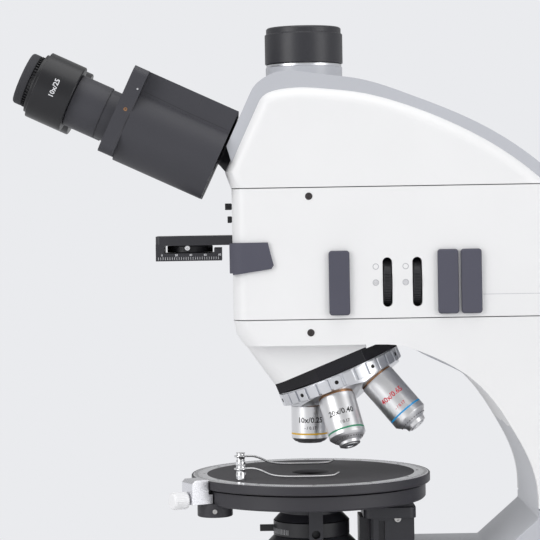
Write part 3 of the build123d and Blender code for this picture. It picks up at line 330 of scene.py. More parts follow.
@dataclass(frozen=True)
class Moulded(Finish):
    """Moulded plastic or powder coat with a fine grain."""

    roughness: float = 0.5
    grain: float = 900.0
    depth: float = 0.00004
    specular: float = 0.5

    def build(self, shader: Shader) -> bpy.types.Material:
        """Fills the node tree."""
        where = shader.place()
        grain = shader.noise(where, self.grain, 3.0, 0.6)
        clouds = shader.noise(where, 14.0, 3.0)
        lighter = tuple(c * 1.18 + 0.002 for c in self.color)
        return shader.surface(
            Base_Color=shader.mix(clouds, self.color, lighter),
            Roughness=(self.roughness + (grain - 0.5) * 0.22 + (clouds - 0.5) * 0.08).clipped(0.05, 1.0),
            Specular_IOR_Level=self.specular,
            Normal=shader.bump(grain, self.depth),
        )


@dataclass(frozen=True)
class TurnedMetal(Finish):
    """Metal from the lathe with fine rings, or the same under a thin coat."""

    roughness: float = 0.3
    metallic: float = 1.0
    rings: float = 6.0
    depth: float = 0.000004

    def build(self, shader: Shader) -> bpy.types.Material:
        """Fills the node tree."""
        fine = shader.noise(shader.turned_place((0.02, self.rings, 1.0)), 1.0, 4.0, 0.7)
        smudge = shader.noise(shader.place(), 60.0, 3.0)
        darker = tuple(c * 0.93 for c in self.color)
        return shader.surface(
            Base_Color=shader.mix(fine.step(0.25, 0.75), darker, self.color),
            Metallic=self.metallic,
            Roughness=(self.roughness + (fine - 0.5) * 0.10 + (smudge - 0.5) * 0.05).clipped(0.04, 1.0),
            Normal=shader.bump(fine, self.depth),
        )


@dataclass(frozen=True)
class MilledMetal(Finish):
    """Bright metal plate with straight fine brushing along X or Y."""

    roughness: float = 0.28
    stretch: tuple[float, float, float] = (900.0, 40.0, 900.0)
    metallic: float = 1.0

    def build(self, shader: Shader) -> bpy.types.Material:
        """Fills the node tree."""
        lines = shader.noise(shader.place(self.stretch), 1.0, 3.0, 0.6)
        smudge = shader.noise(shader.place(), 40.0, 3.0)
        darker = tuple(c * 0.9 for c in self.color)
        return shader.surface(
            Base_Color=shader.mix(lines, darker, self.color),
            Metallic=self.metallic,
            Roughness=(self.roughness + (lines - 0.5) * 0.15 + (smudge - 0.5) * 0.1).clipped(0.03, 1.0),
            Normal=shader.bump(lines, 0.00001),
        )


@dataclass(frozen=True)
class Lens(Finish):
    """Coated lens glass over a dark mount."""

    def build(self, shader: Shader) -> bpy.types.Material:
        """Fills the node tree."""
        tint = shader.noise(shader.place(), 30.0, 1.0)
        return shader.surface(
            Base_Color=shader.mix(tint, self.color, tuple(c * 1.6 for c in self.color)),
            Roughness=0.04 + tint * 0.02,
            IOR=1.6,
            Coat_Weight=1.0,
            Coat_Roughness=0.02,
            Coat_Tint=(0.55, 0.75, 1.0),
        )


@dataclass(frozen=True)
class Ink(Finish):
    """Printed mark, slightly uneven."""

    def build(self, shader: Shader) -> bpy.types.Material:
        """Fills the node tree."""
        wear = shader.noise(shader.place(), 700.0, 2.0)
        return shader.surface(
            Base_Color=shader.mix(wear.step(0.2, 0.8), tuple(c * 0.88 for c in self.color), self.color),
            Roughness=0.45 + (wear - 0.5) * 0.2,
        )


WHITE = Paint("white paint", (0.86, 0.86, 0.865), "white_paint")
GREY = Paint("light grey paint", srgb(190, 192, 198), "grey_paint", roughness=0.36)
BLACK = Moulded("black satin coat", srgb(42, 42, 47), "black_paint", roughness=0.42, depth=0.00002)
HEAD_BLACK = Moulded("charcoal grained coat", srgb(52, 52, 58), "black_paint", roughness=0.50)
STAGE_BLACK = Moulded("black anodised coat", srgb(46, 45, 50), "black_paint", roughness=0.46, depth=0.00001)
MATTE_BLACK = Moulded("matte dark insert", srgb(66, 65, 68), "black_paint", roughness=0.72)
PLASTIC = Moulded("black plastic", srgb(28, 28, 32), "black_plastic", roughness=0.42)
GLOSS_BLACK = Moulded(
    "gloss black lacquer", srgb(15, 14, 21), "gloss_black", roughness=0.13, depth=0.0, specular=0.35
)
RUBBER = Moulded("soft black rubber", srgb(46, 46, 50), "rubber", roughness=0.75, grain=1600.0)
PAD = Moulded("dark grey soft pad", srgb(78, 78, 90), "dark_grey_pad", roughness=0.62, specular=0.35)
SATIN_CHROME = TurnedMetal("satin chrome", (0.83, 0.83, 0.84), "satin_chrome", roughness=0.36)
TURRET_METAL = TurnedMetal("turned bright aluminium", (0.76, 0.77, 0.80), "satin_chrome", roughness=0.30)
CHROME = TurnedMetal(
    "polished chrome", (0.85, 0.85, 0.86), "polished_chrome", roughness=0.07, rings=1.0, depth=0.0
)
BRIGHT = MilledMetal("bright milled aluminium", (0.83, 0.83, 0.86), "aluminium")
SCALE_METAL = TurnedMetal("satin scale ring", (0.84, 0.84, 0.86), "aluminium", roughness=0.30, rings=3.0)
EYEPIECE_BLACK = TurnedMetal(
    "black anodised turning", srgb(22, 22, 26), "black_plastic", roughness=0.36, metallic=0.0, rings=4.0
)
STEEL = TurnedMetal("screw steel", (0.55, 0.54, 0.53), "steel", roughness=0.3, rings=3.0)
DARK_STEEL = TurnedMetal("blackened steel", (0.10, 0.09, 0.09), "steel", roughness=0.4, rings=3.0)
PLATE_STEEL = MilledMetal("grey steel plate", (0.38, 0.38, 0.40), "steel", roughness=0.45)
COPPER = TurnedMetal("brown brass ring", (0.45, 0.24, 0.12), "steel", roughness=0.3, rings=3.0)
KNOB_WHITE = Moulded("white knob plastic", (0.82, 0.82, 0.83), "white_knob", roughness=0.35, depth=0.00001)
DARK = Moulded("shadow gap", srgb(20, 16, 16), "black_plastic", roughness=0.9)
GLASS = Lens("coated lens", srgb(22, 26, 34), "glass")
FROSTED = Lens("field lens glass", srgb(196, 200, 204), "glass")
INK_WHITE = Ink("white print", srgb(226, 227, 230), "black_plastic")
INK_BLACK = Ink("black print", srgb(28, 27, 30), "satin_chrome")
INK_RED = Ink("red print", srgb(214, 44, 60), "satin_chrome")
INK_GREY = Ink("grey print", srgb(176, 176, 182), "white_paint")
BAND_YELLOW = Ink("yellow ring paint", srgb(248, 196, 48), "satin_chrome")
BAND_GREEN = Ink("green ring paint", srgb(28, 140, 100), "satin_chrome")
BAND_BLUE = Ink("light blue ring paint", srgb(32, 160, 226), "satin_chrome")
BAND_RED = Ink("red ring paint", srgb(206, 52, 44), "satin_chrome")


# Local frames


def axes_frame(origin: Vector, x: Vector, z: Vector) -> Matrix:
    """Matrix of a local frame.

    Args:
        origin: its origin.
        x: its X axis.
        z: its Z axis, square to x.

    Returns:
        The 4 by 4 matrix.
    """
    y = z.cross(x)
    rows = [(x[i], y[i], z[i], origin[i]) for i in range(3)]
    return Matrix([*rows, (0.0, 0.0, 0.0, 1.0)])


def head_frame() -> Matrix:
    """Frame of the tilted head: Z towards the user's eyes, Y up."""
    return axes_frame(HEAD_PIVOT, Vector((1, 0, 0)), Vector((0, -cos(HEAD_TILT), sin(HEAD_TILT))))


def nose_frame() -> Matrix:
    """Frame of the nosepiece: Z down its turning axis from the apex."""
    down = Vector((0, sin(NOSE_TILT), -cos(NOSE_TILT)))
    return axes_frame(Vector((0, 0, NOSE_APEX)), Vector((1, 0, 0)), down)


def station_frame(index: int) -> Matrix:
    """Frame of one objective: Z down its axis, origin on its shoulder.

    Args:
        index: number of the station, 0 on the optical axis.

    Returns:
        The 4 by 4 matrix.
    """
    angle = tau * index / STATIONS
    lean = sin(NOSE_TILT)
    z = nose_frame().to_3x3() @ Vector((lean * sin(angle), lean * cos(angle), cos(NOSE_TILT)))
    side = Vector((1, 0, 0)) - z * z.x
    return axes_frame(Vector((0, 0, NOSE_APEX)) + z * SHOULDER, side.normalized(), z)


def side_frame(y: float, z: float, x: float = BODY_HALF) -> Matrix:
    """Frame on the right side of the body: Z outwards (+X), X along +Y, Y up."""
    return axes_frame(Vector((x, y, z)), Vector((0, 1, 0)), Vector((1, 0, 0)))


# Mesh making


def soften(points: Profile, radius: float, steps: int = 3, closed: bool = False) -> Profile:
    """Rounds the corners of a line.

    Args:
        points: the corners in order.
        radius: how far a corner is cut back, less on short runs.
        steps: runs of each rounded corner.
        closed: whether the line is closed.

    Returns:
        The rounded line.
    """
    made: Profile = []
    count = len(points)
    for i, point in enumerate(points):
        if not closed and i in (0, count - 1):
            made.append(point)
            continue
        here, before, after = Vector(point), Vector(points[i - 1]), Vector(points[(i + 1) % count])
        back, on = before - here, after - here
        reach = min(radius, back.length * 0.45, on.length * 0.45)
        if reach < 1e-4 or abs(back.normalized().dot(on.normalized())) > 0.9999:
            made.append(point)
            continue
        start, end = here + back.normalized() * reach, here + on.normalized() * reach
        for k in range(steps + 1):
            t = k / steps
            p = start * (1 - t) ** 2 + here * 2 * t * (1 - t) + end * t**2
            made.append((p.x, p.y))
    return made


def lathe(points: Profile, segments: int = 96, radius: float = 0.4, closed: bool = False) -> Mesh:
    """Turns a half section about Z.

    Args:
        points: (radius, height) of each corner.
        segments: faces round the axis.
        radius: rounding of the corners.
        closed: whether the section is a closed ring.

    Returns:
        The turned mesh with its own map.
    """
    line = soften(points, radius, closed=closed)
    bm = bmesh.new()
    layer = bm.loops.layers.uv.new(TURNED_MAP)
    rings: list[list[bmesh.types.BMVert]] = []
    along = [0.0]
    for a, b in zip(line, line[1:] + line[:1]):
        along.append(along[-1] + hypot(b[0] - a[0], b[1] - a[1]))
    for r, z in line:
        if r < 1e-4:
            rings.append([bm.verts.new((0.0, 0.0, z))] * segments)
        else:
            turn = [tau * k / segments for k in range(segments)]
            rings.append([bm.verts.new((r * cos(t), r * sin(t), z)) for t in turn])
    count = len(line)
    widest = max(r for r, _ in line)
    for i in range(count if closed else count - 1):
        low, high = rings[i], rings[(i + 1) % count]
        for k in range(segments):
            n = (k + 1) % segments
            corners = [(low[k], k, i), (low[n], k + 1, i), (high[n], k + 1, i + 1), (high[k], k, i + 1)]
            kept = [c for j, c in enumerate(corners) if c[0] not in [d[0] for d in corners[:j]]]
            if len(kept) < 3:
                continue
            face = bm.faces.new([c[0] for c in kept])
            for loop, (_, step, ring) in zip(face.loops, kept):
                loop[layer].uv = (step / segments * tau * widest, along[ring])
    bmesh.ops.recalc_face_normals(bm, faces=bm.faces)
    return bm


def prism(outline: Sequence[Point], low: float, high: float) -> Mesh:
    """Straight solid of a closed outline between two heights.

    Args:
        outline: corners in order.
        low: height of the lower face.
        high: height of the upper face.

    Returns:
        The closed mesh.
    """
    bm = bmesh.new()
    bottom = [bm.verts.new((x, y, low)) for x, y in outline]
    top = [bm.verts.new((x, y, high)) for x, y in outline]
    bm.faces.new(bottom[::-1])
    bm.faces.new(top)
    for i in range(len(outline)):
        n = (i + 1) % len(outline)
        bm.faces.new((bottom[i], bottom[n], top[n], top[i]))
    bmesh.ops.recalc_face_normals(bm, faces=bm.faces)
    return bm


def brick(low: Sequence[float], high: Sequence[float]) -> Mesh:
    """Box between two corners."""
    outline = [(low[0], low[1]), (high[0], low[1]), (high[0], high[1]), (low[0], high[1])]
    return prism(outline, low[2], high[2])


def round_edges(bm: Mesh, width: float, segments: int = 2, angle: float = 28.0) -> Mesh:
    """Rounds every edge that is sharper than an angle.

    Args:
        bm: mesh to change.
        width: size of the rounding.
        segments: faces across it.
        angle: smallest turn of an edge that is rounded, in degrees.

    Returns:
        The same mesh.
    """
    limit = radians(angle)
    edges = [e for e in bm.edges if len(e.link_faces) == 2 and e.calc_face_angle(0.0) > limit]
    bmesh.ops.bevel(
        bm, geom=edges, offset=width, segments=segments, profile=0.5, affect="EDGES", clamp_overlap=True
    )
    return bm


def joined(*parts: Mesh) -> Mesh:
    """Several meshes as one; the others are freed."""
    whole = bmesh.new()
    whole.loops.layers.uv.new(TURNED_MAP)
    for part in parts:
        spare = bpy.data.meshes.new("spare")
        part.to_mesh(spare)
        part.free()
        whole.from_mesh(spare)
        bpy.data.meshes.remove(spare)
    return whole


def moved(bm: Mesh, matrix: Matrix) -> Mesh:
    """The mesh brought into a local frame."""
    bmesh.ops.transform(bm, matrix=matrix, verts=bm.verts)
    return bm


def turned_by(degrees_: float) -> Matrix:
    """Turn about Z in degrees."""
    return Matrix.Rotation(radians(degrees_), 4, "Z")


def at(x: float, y: float, z: float) -> Matrix:
    """Shift to a point."""
    return Matrix.Translation((x, y, z))


def tube_along(points: Sequence[Vector], radius: float, sides: int = 12) -> Mesh:
    """Round wire along a line of points, with closed ends.

    Args:
        points: centre line.
        radius: radius of the wire.
        sides: faces round it.

    Returns:
        The closed mesh.
    """
    bm = bmesh.new()
    rings = []
    for i, point in enumerate(points):
        ahead = (points[min(i + 1, len(points) - 1)] - points[max(i - 1, 0)]).normalized()
        up = Vector((1, 0, 0)) if abs(ahead.x) < 0.9 else Vector((0, 0, 1))
        across = ahead.cross(up).normalized()
        third = ahead.cross(across)
        ring = [across * cos(tau * k / sides) + third * sin(tau * k / sides) for k in range(sides)]
        rings.append([bm.verts.new(point + d * radius) for d in ring])
    for a, b in zip(rings, rings[1:]):
        for k in range(sides):
            n = (k + 1) % sides
            bm.faces.new((a[k], a[n], b[n], b[k]))
    bm.faces.new(rings[0])
    bm.faces.new(rings[-1])
    bmesh.ops.recalc_face_normals(bm, faces=bm.faces)
    return bm


def smooth_path(points: Sequence[Sequence[float]], steps: int = 6) -> list[Vector]:
    """Points of a line whose corners are eased by quadratic arcs.

    Args:
        points: corners.
        steps: runs of each arc.

    Returns:
        The eased line.
    """
    corners = [Vector(p) for p in points]
    line = [corners[0]]
    for before, here, after in zip(corners, corners[1:], corners[2:]):
        start, end = here.lerp(before, 0.35), here.lerp(after, 0.35)
        for k in range(steps + 1):
            t = k / steps
            line.append(start * (1 - t) ** 2 + here * 2 * t * (1 - t) + end * t**2)
    line.append(corners[-1])
    return line


# Pieces


class Workshop:
    """Turns meshes into pieces that ride on the frame's bodies."""

    def __init__(self, loaded: dict) -> None:
        """Remembers the frame.
        """
        self.nodes = loaded["nodes"]
        groups = loaded["record"]["behaviour"]["bodies"]
        self.body_of = {node: body for body, members in groups.items() for node in members}
        self.slot_of = {row["node"]: row["material_slot"] for row in loaded["record"]["subparts"]}
        self.made: list[bpy.types.Object] = []

    def link(self, name: str, mesh: bpy.types.Mesh) -> bpy.types.Object:
        """Puts a mesh into the scene as an object at the origin."""
        made = bpy.data.objects.new(name, mesh)
        bpy.context.scene.collection.objects.link(made)
        return made

    def settle(self, bm: Mesh, name: str, scale: float, sharp: float) -> bpy.types.Mesh:
        """Smooths a mesh, keeps its flat faces flat and brings it to metres.

        Args:
            bm: mesh, which is freed.
            name: name of the result.
            scale: factor to metres.
            sharp: angle in degrees above which an edge stays sharp.

        Returns:
            The finished mesh.
        """
        bmesh.ops.scale(bm, vec=(scale, scale, scale), verts=bm.verts)
        raw = bpy.data.meshes.new(name)
        bm.to_mesh(raw)
        bm.free()
        raw.shade_smooth()
        raw.set_sharp_from_angle(angle=radians(sharp))
        holder = self.link(name + "_raw", raw)
        weigh = holder.modifiers.new("weigh", "WEIGHTED_NORMAL")
        weigh.keep_sharp = True
        bpy.context.view_layer.update()
        graph = bpy.context.evaluated_depsgraph_get()
        done = bpy.data.meshes.new_from_object(holder.evaluated_get(graph))
        bpy.data.objects.remove(holder)
        bpy.data.meshes.remove(raw)
        done.name = name
        return done

    def add(
        self,
        name: str,
        bm: Mesh,
        finish: Finish,
        body: str,
        stands_for: Iterable[str] = (),
        slot: str | None = None,
        scale: float = MM,
        sharp: float = SHARP_ANGLE,
    ) -> bpy.types.Object:
        """Finishes a mesh as one piece.

        Args:
            name: name of the piece.
            bm: its mesh, in millimetres unless scale says otherwise.
            finish: its finish.
            body: frame body that it rides on.
            stands_for: frame nodes that it replaces.
            slot: material slot, if not the finish's own; not used.
            scale: factor to metres.
            sharp: angle above which an edge stays sharp.

        Returns:
            The piece.
        """
        made = self.link(name, self.settle(bm, name, scale, sharp))
        made.data.materials.append(finish.material())
        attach(made, body)
        for node in stands_for:
            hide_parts(node)
        self.made.append(made)
        return made

    def for_node(
        self, node: str, bm: Mesh, finish: Finish, sharp: float = SHARP_ANGLE
    ) -> bpy.types.Object:
        """A piece that stands for one node on the node's own body."""
        body, slot = self.body_of[node], self.slot_of[node]
        return self.add(node + "_piece", bm, finish, body, [node], slot, sharp=sharp)

    def detail(self, name: str, bm: Mesh, finish: Finish, node: str) -> bpy.types.Object:
        """A further piece that rides with a node."""
        return self.add(name, bm, finish, self.body_of[node])

    def copy_of(self, node: str) -> Mesh:
        """The node's own form as one closed mesh with whole flat faces, in millimetres."""
        bm = bmesh.new()
        bm.from_mesh(self.nodes[node].data)
        bmesh.ops.scale(bm, vec=(1 / MM,) * 3, verts=bm.verts)
        bmesh.ops.remove_doubles(bm, verts=bm.verts, dist=WELD)
        bmesh.ops.dissolve_limit(bm, angle_limit=radians(FLAT_ANGLE), verts=bm.verts, edges=bm.edges)
        return bm

    def shell(self, node: str, finish: Finish, edge: float = 0.5, segments: int = 2) -> bpy.types.Object:
        """Shows a node's own form with eased edges and a finish.

        Args:
            node: frame node.
            finish: its finish.
            edge: size of the eased edges.
            segments: faces across an eased edge.

        Returns:
            The piece.
        """
        bm = self.copy_of(node)
        if edge:
            round_edges(bm, edge, segments)
        return self.for_node(node, bm, finish)

    def side_hits(self, node: str, points: Sequence[Point], side: Side) -> list[Vector]:
        """Points of a node's side face, seen straight from the right or left.

        Args:
            node: frame node.
            points: (Y, Z) of each wanted point.
            side: which face.

        Returns:
            The points found, in millimetres.
        """
        bm = self.copy_of(node)
        skin = BVHTree.FromBMesh(bm)
        bm.free()
        found = [skin.ray_cast(Vector((side * RAY_START, y, z)), Vector((-side, 0, 0)))[0] for y, z in points]
        return [hit for hit in found if hit]

    def seam(
        self,
        name: str,
        node: str,
        corners: Sequence[Point],
        finish: Finish,
        width: float,
        side: Side = Side.RIGHT,
    ) -> None:
        """A fine line let into a node's side face.

        Args:
            name: name of the piece.
            node: frame node.
            corners: (Y, Z) of its corners.
            finish: its finish.
            width: its width.
            side: which face.
        """
        steps = []
        for (y0, z0), (y1, z1) in zip(corners, corners[1:]):
            count = max(2, int(hypot(y1 - y0, z1 - z0) / SEAM_STEP))
            steps += [(y0 + (y1 - y0) * k / count, z0 + (z1 - z0) * k / count) for k in range(count)]
        hits = self.side_hits(node, [*steps, corners[-1]], side)
        if len(hits) > 1:
            inward = Vector((side * (width / 2 - SEAM_PROUD), 0, 0))
            self.detail(name, tube_along([hit - inward for hit in hits], width / 2, 8), finish, node)

    def report(self, title: str, start: int) -> None:
        """Logs the pieces made since a count."""
        for made in self.made[start:]:
            log.info("%s: %s, %d faces", title, made.name, len(made.data.polygons))


class Repeater:
    """Repeats a small form with Geometry Nodes, each copy turned and shifted from the last."""

    TREE = "repeat a form"
    INPUTS = (
        ("Form", "NodeSocketObject"),
        ("Count", "NodeSocketInt"),
        ("Start", "NodeSocketFloat"),
        ("Turn", "NodeSocketFloat"),
        ("Shift", "NodeSocketVector"),
        ("Finish", "NodeSocketMaterial"),
    )

    def __init__(self, shop: Workshop) -> None:
        """Builds the tree once.

        Args:
            shop: makes the pieces.
        """
        self.shop = shop
        self.tree = self._tree()

    def _tree(self) -> bpy.types.NodeTree:
        """The node tree: points on a line, one instance on each, real geometry at the end.

        Returns:
            The tree.
        """
        tree = bpy.data.node_groups.new(self.TREE, "GeometryNodeTree")
        tree.interface.new_socket("Geometry", in_out="INPUT", socket_type="NodeSocketGeometry")
        for name, kind in self.INPUTS:
            tree.interface.new_socket(name, in_out="INPUT", socket_type=kind)
        tree.interface.new_socket("Geometry", in_out="OUTPUT", socket_type="NodeSocketGeometry")
        new, link = tree.nodes.new, tree.links.new
        given, result = new("NodeGroupInput"), new("NodeGroupOutput")
        line = new("GeometryNodeMeshLine")
        line.mode = "OFFSET"
        link(given.outputs["Count"], line.inputs["Count"])
        link(given.outputs["Shift"], line.inputs["Offset"])
        index = new("GeometryNodeInputIndex")
        turn = new("ShaderNodeMath")
        turn.operation = "MULTIPLY_ADD"
        link(index.outputs[0], turn.inputs[0])
        link(given.outputs["Turn"], turn.inputs[1])
        link(given.outputs["Start"], turn.inputs[2])
        angle = new("ShaderNodeCombineXYZ")
        link(turn.outputs[0], angle.inputs["Z"])
        form = new("GeometryNodeObjectInfo")
        link(given.outputs["Form"], form.inputs["Object"])
        copies = new("GeometryNodeInstanceOnPoints")
        link(line.outputs["Mesh"], copies.inputs["Points"])
        link(form.outputs["Geometry"], copies.inputs["Instance"])
        link(angle.outputs[0], copies.inputs["Rotation"])
        real = new("GeometryNodeRealizeInstances")
        link(copies.outputs["Instances"], real.inputs["Geometry"])
        dress = new("GeometryNodeSetMaterial")
        link(real.outputs["Geometry"], dress.inputs["Geometry"])
        link(given.outputs["Finish"], dress.inputs["Material"])
        link(dress.outputs["Geometry"], result.inputs[0])
        return tree

    def run(
        self,
        form: Mesh,
        count: int,
        finish: Finish,
        turn: float = 0.0,
        start: float = 0.0,
        shift: Sequence[float] = (0.0, 0.0, 0.0),
    ) -> Mesh:
        """Repeats a form.

        Args:
            form: the form at its first place, freed.
            count: number of copies.
            finish: finish that the tree sets.
            turn: turn from one copy to the next about Z, in degrees.
            start: turn of the first copy, in degrees.
            shift: shift from one copy to the next.

        Returns:
            All copies as one mesh, in millimetres.
        """
        mesh = bpy.data.meshes.new("form")
        form.to_mesh(mesh)
        form.free()
        source = self.shop.link("form", mesh)
        holder = self.shop.link("copies", bpy.data.meshes.new("copies"))
        modifier = holder.modifiers.new("repeat", "NODES")
        modifier.node_group = self.tree
        values = {
            "Form": source,
            "Count": count,
            "Start": radians(start),
            "Turn": radians(turn),
            "Shift": tuple(shift),
            "Finish": finish.material(),
        }
        for item in self.tree.interface.items_tree:
            if item.in_out == "INPUT" and item.name in values:
                modifier[item.identifier] = values[item.name]
        bpy.context.view_layer.update()
        graph = bpy.context.evaluated_depsgraph_get()
        result = bpy.data.meshes.new_from_object(holder.evaluated_get(graph))
        bpy.data.objects.remove(holder)
        bpy.data.objects.remove(source)
        bm = bmesh.new()
        bm.from_mesh(result)
        bpy.data.meshes.remove(result)
        return bm


def lettering(text: str, size: float, thickness: float = 0.06) -> Mesh:
    """Flat figures, centred on the origin in XY.

    Args:
        text: the figures.
        size: their height.
        thickness: how far they stand up.

    Returns:
        The mesh, in millimetres.
    """
    curve = bpy.data.curves.new("figures", "FONT")
    curve.body = text
    curve.size = size
    curve.align_x = "CENTER"
    curve.align_y = "CENTER"
    curve.extrude = thickness / 2
    curve.resolution_u = 2
    curve.offset = size * 0.018
    holder = bpy.data.objects.new("figures", curve)
    bpy.context.scene.collection.objects.link(holder)
    bpy.context.view_layer.update()
    graph = bpy.context.evaluated_depsgraph_get()
    mesh = bpy.data.meshes.new_from_object(holder.evaluated_get(graph))
    bpy.data.objects.remove(holder)
    bpy.data.curves.remove(curve)
    bm = bmesh.new()
    bm.from_mesh(mesh)
    bpy.data.meshes.remove(mesh)
    bmesh.ops.triangulate(bm, faces=bm.faces)
    long_edges = [e for e in bm.edges if e.calc_length() > size * 0.35]
    bmesh.ops.subdivide_edges(bm, edges=long_edges, cuts=1)
    return bm


def wrapped(bm: Mesh, radius: float, angle: float) -> Mesh:
    """Wraps a flat mesh round the Z axis.

    Args:
        bm: mesh in XY, X going round and Y along the axis.
        radius: radius of the surface.
        angle: direction of its middle about Z, in degrees.

    Returns:
        The same mesh.
    """
    middle = radians(angle)
    for vert in bm.verts:
        turn = middle + vert.co.x / radius
        r = radius + vert.co.z
        vert.co = (r * cos(turn), r * sin(turn), vert.co.y)
    return bm


# Sub-assemblies


@dataclass
class Stand:
    """White covers, grey frame, base and the fittings on them."""

    shop: Workshop
    repeater: Repeater
    cover_edge: float = 0.7
    frame_edge: float = 1.0
    screw_radius: float = 2.3
    screw_y: float = 0.0
    screw_heights: tuple[float, float] = (369.4, 282.6)
    dimmer_place: tuple[float, float, float] = (89.0, -30.0, 28.0)
    dimmer_ribs: int = 36

    def build(self) -> None:
        """Builds the covers, the frame, the base and their fittings."""
        for node in ("head_cover", "illuminator_cover", "stand_cover"):
            self.shop.shell(node, WHITE, self.cover_edge)
        for node in ("head_frame", "illuminator_frame", "stand_frame"):
            self.shop.shell(node, GREY, self.frame_edge)
        self.shop.shell("base_housing", WHITE, 0.0)
        self.shop.shell("base_plate", PLATE_STEEL, 0.3)
        self.shop.shell("rubber_feet", RUBBER, 0.4)
        self.shop.shell("illuminator_block", BLACK, 0.3)
        crease = [(109.7, 305.4), (182.0, 305.4)]
        self.shop.seam("rear_cover_seam", "illuminator_cover", crease, INK_GREY, 0.35)
        self.screws()
        self.base_fittings()

    def screws(self) -> None:
        """Sunk socket screws of the covers, on both sides."""
        heads, r = [], self.screw_radius
        for side in Side:
            for height in self.screw_heights:
                head = lathe([(0, 2.4), (1.15, 2.4), (1.15, 3.8), (r, 3.8), (r, 0), (0, 0)], 32, 0.15)
                place = Vector((side * (BODY_HALF - 5.0), self.screw_y, height))
                heads.append(moved(head, axes_frame(place, Vector((0, 1, 0)), Vector((side, 0, 0)))))
        self.shop.for_node("cover_screws", joined(*heads), DARK_STEEL)

    def base_fittings(self) -> None:
        """Field lens, its collar, inlet, rocker and brightness knob."""
        self.shop.shell("field_lens_collar", BLACK, 0.5)
        self.shop.shell("field_lens", FROSTED, 0.0)
        self.shop.shell("power_inlet", PLASTIC, 0.3)
        self.shop.shell("power_rocker", PLASTIC, 0.4)
        place = axes_frame(Vector(self.dimmer_place), Vector((0, 1, 0)), Vector((1, 0, 0)))
        section = [(0, -14), (4.0, -14), (4.0, 0.6), (9.6, 0.6), (9.6, 9.2), (8.6, 10.4), (0, 10.4)]
        knob = lathe(section, 64, 0.5)
        self.shop.for_node("dimmer_knob", moved(knob, place), PLASTIC)
        rib = round_edges(brick((9.4, -0.35, 1.4), (10.0, 0.35, 9.4)), 0.12, 1)
        ribs = self.repeater.run(rib, self.dimmer_ribs, PLASTIC, turn=360 / self.dimmer_ribs)
        self.shop.detail("dimmer_ribs", moved(ribs, place), PLASTIC, "dimmer_knob")


@dataclass
class Eyepiece:
    """One eyepiece with its eyecup; sizes along the tube axis from the hub plane."""

    shop: Workshop
    repeater: Repeater
    side: Side
    barrel_radius: float = 22.2
    barrel_start: float = 101.0
    barrel_end: float = 125.0

    def build(self) -> None:
        """Builds the barrel, its rings, the eyecup, the lens and the figures."""
        word = self.side.word
        place = head_frame() @ at(self.side * TUBE_X, -TUBE_DROP, 0)
        r, start, end = self.barrel_radius, self.barrel_start, self.barrel_end
        barrel = lathe(
            [
                (0, start - 26), (11.5, start - 26), (11.5, start - 0.2), (r - 0.5, start - 0.2),
                (r, start + 0.4), (r, end), (r - 2.4, end + 0.3), (r - 2.4, end + 2.2), (17.6, end + 2.2),
                (17.6, end + 2.9), (16.2, end + 3.1), (16.2, end + 5.0), (13.2, end + 5.0),
                (12.6, end + 3.2), (0, end + 3.2),
            ],
            128, 0.35,
        )
        self.shop.for_node(f"eyepiece_{word}", moved(barrel, place), EYEPIECE_BLACK)
        cup = lathe(
            [
                (11.5, end + 5.2), (17.2, end + 5.2), (17.2, end + 10.0), (16.4, end + 11.2),
                (14.4, end + 11.2), (13.0, end + 9.4), (11.6, end + 6.4),
            ],
            96, 0.8, closed=True,
        )
        self.shop.for_node(f"eyecup_{word}", moved(cup, place), RUBBER)
        lens = lathe([(0, end + 4.6), (6, end + 4.4), (12.6, end + 3.3)], 64, 0.0)
        self.shop.detail(f"eye_lens_{word}", moved(lens, place), GLASS, f"eyepiece_{word}")
        tooth = round_edges(brick((16.1, -0.28, end + 3.2), (17.3, 0.28, end + 4.9)), 0.1, 1)
        teeth = self.repeater.run(tooth, 48, EYEPIECE_BLACK, turn=7.5)
        self.shop.detail(f"eyepiece_teeth_{word}", moved(teeth, place), EYEPIECE_BLACK, f"eyepiece_{word}")
        figures = lettering("10x/25", 4.6)
        figures = moved(figures, at(0, (start + end) / 2, 0))
        figures = wrapped(figures, r + 0.03, 4.0 if self.side > 0 else 176.0)
        self.shop.detail(f"eyepiece_figures_{word}", moved(figures, place), INK_WHITE, f"eyepiece_{word}")


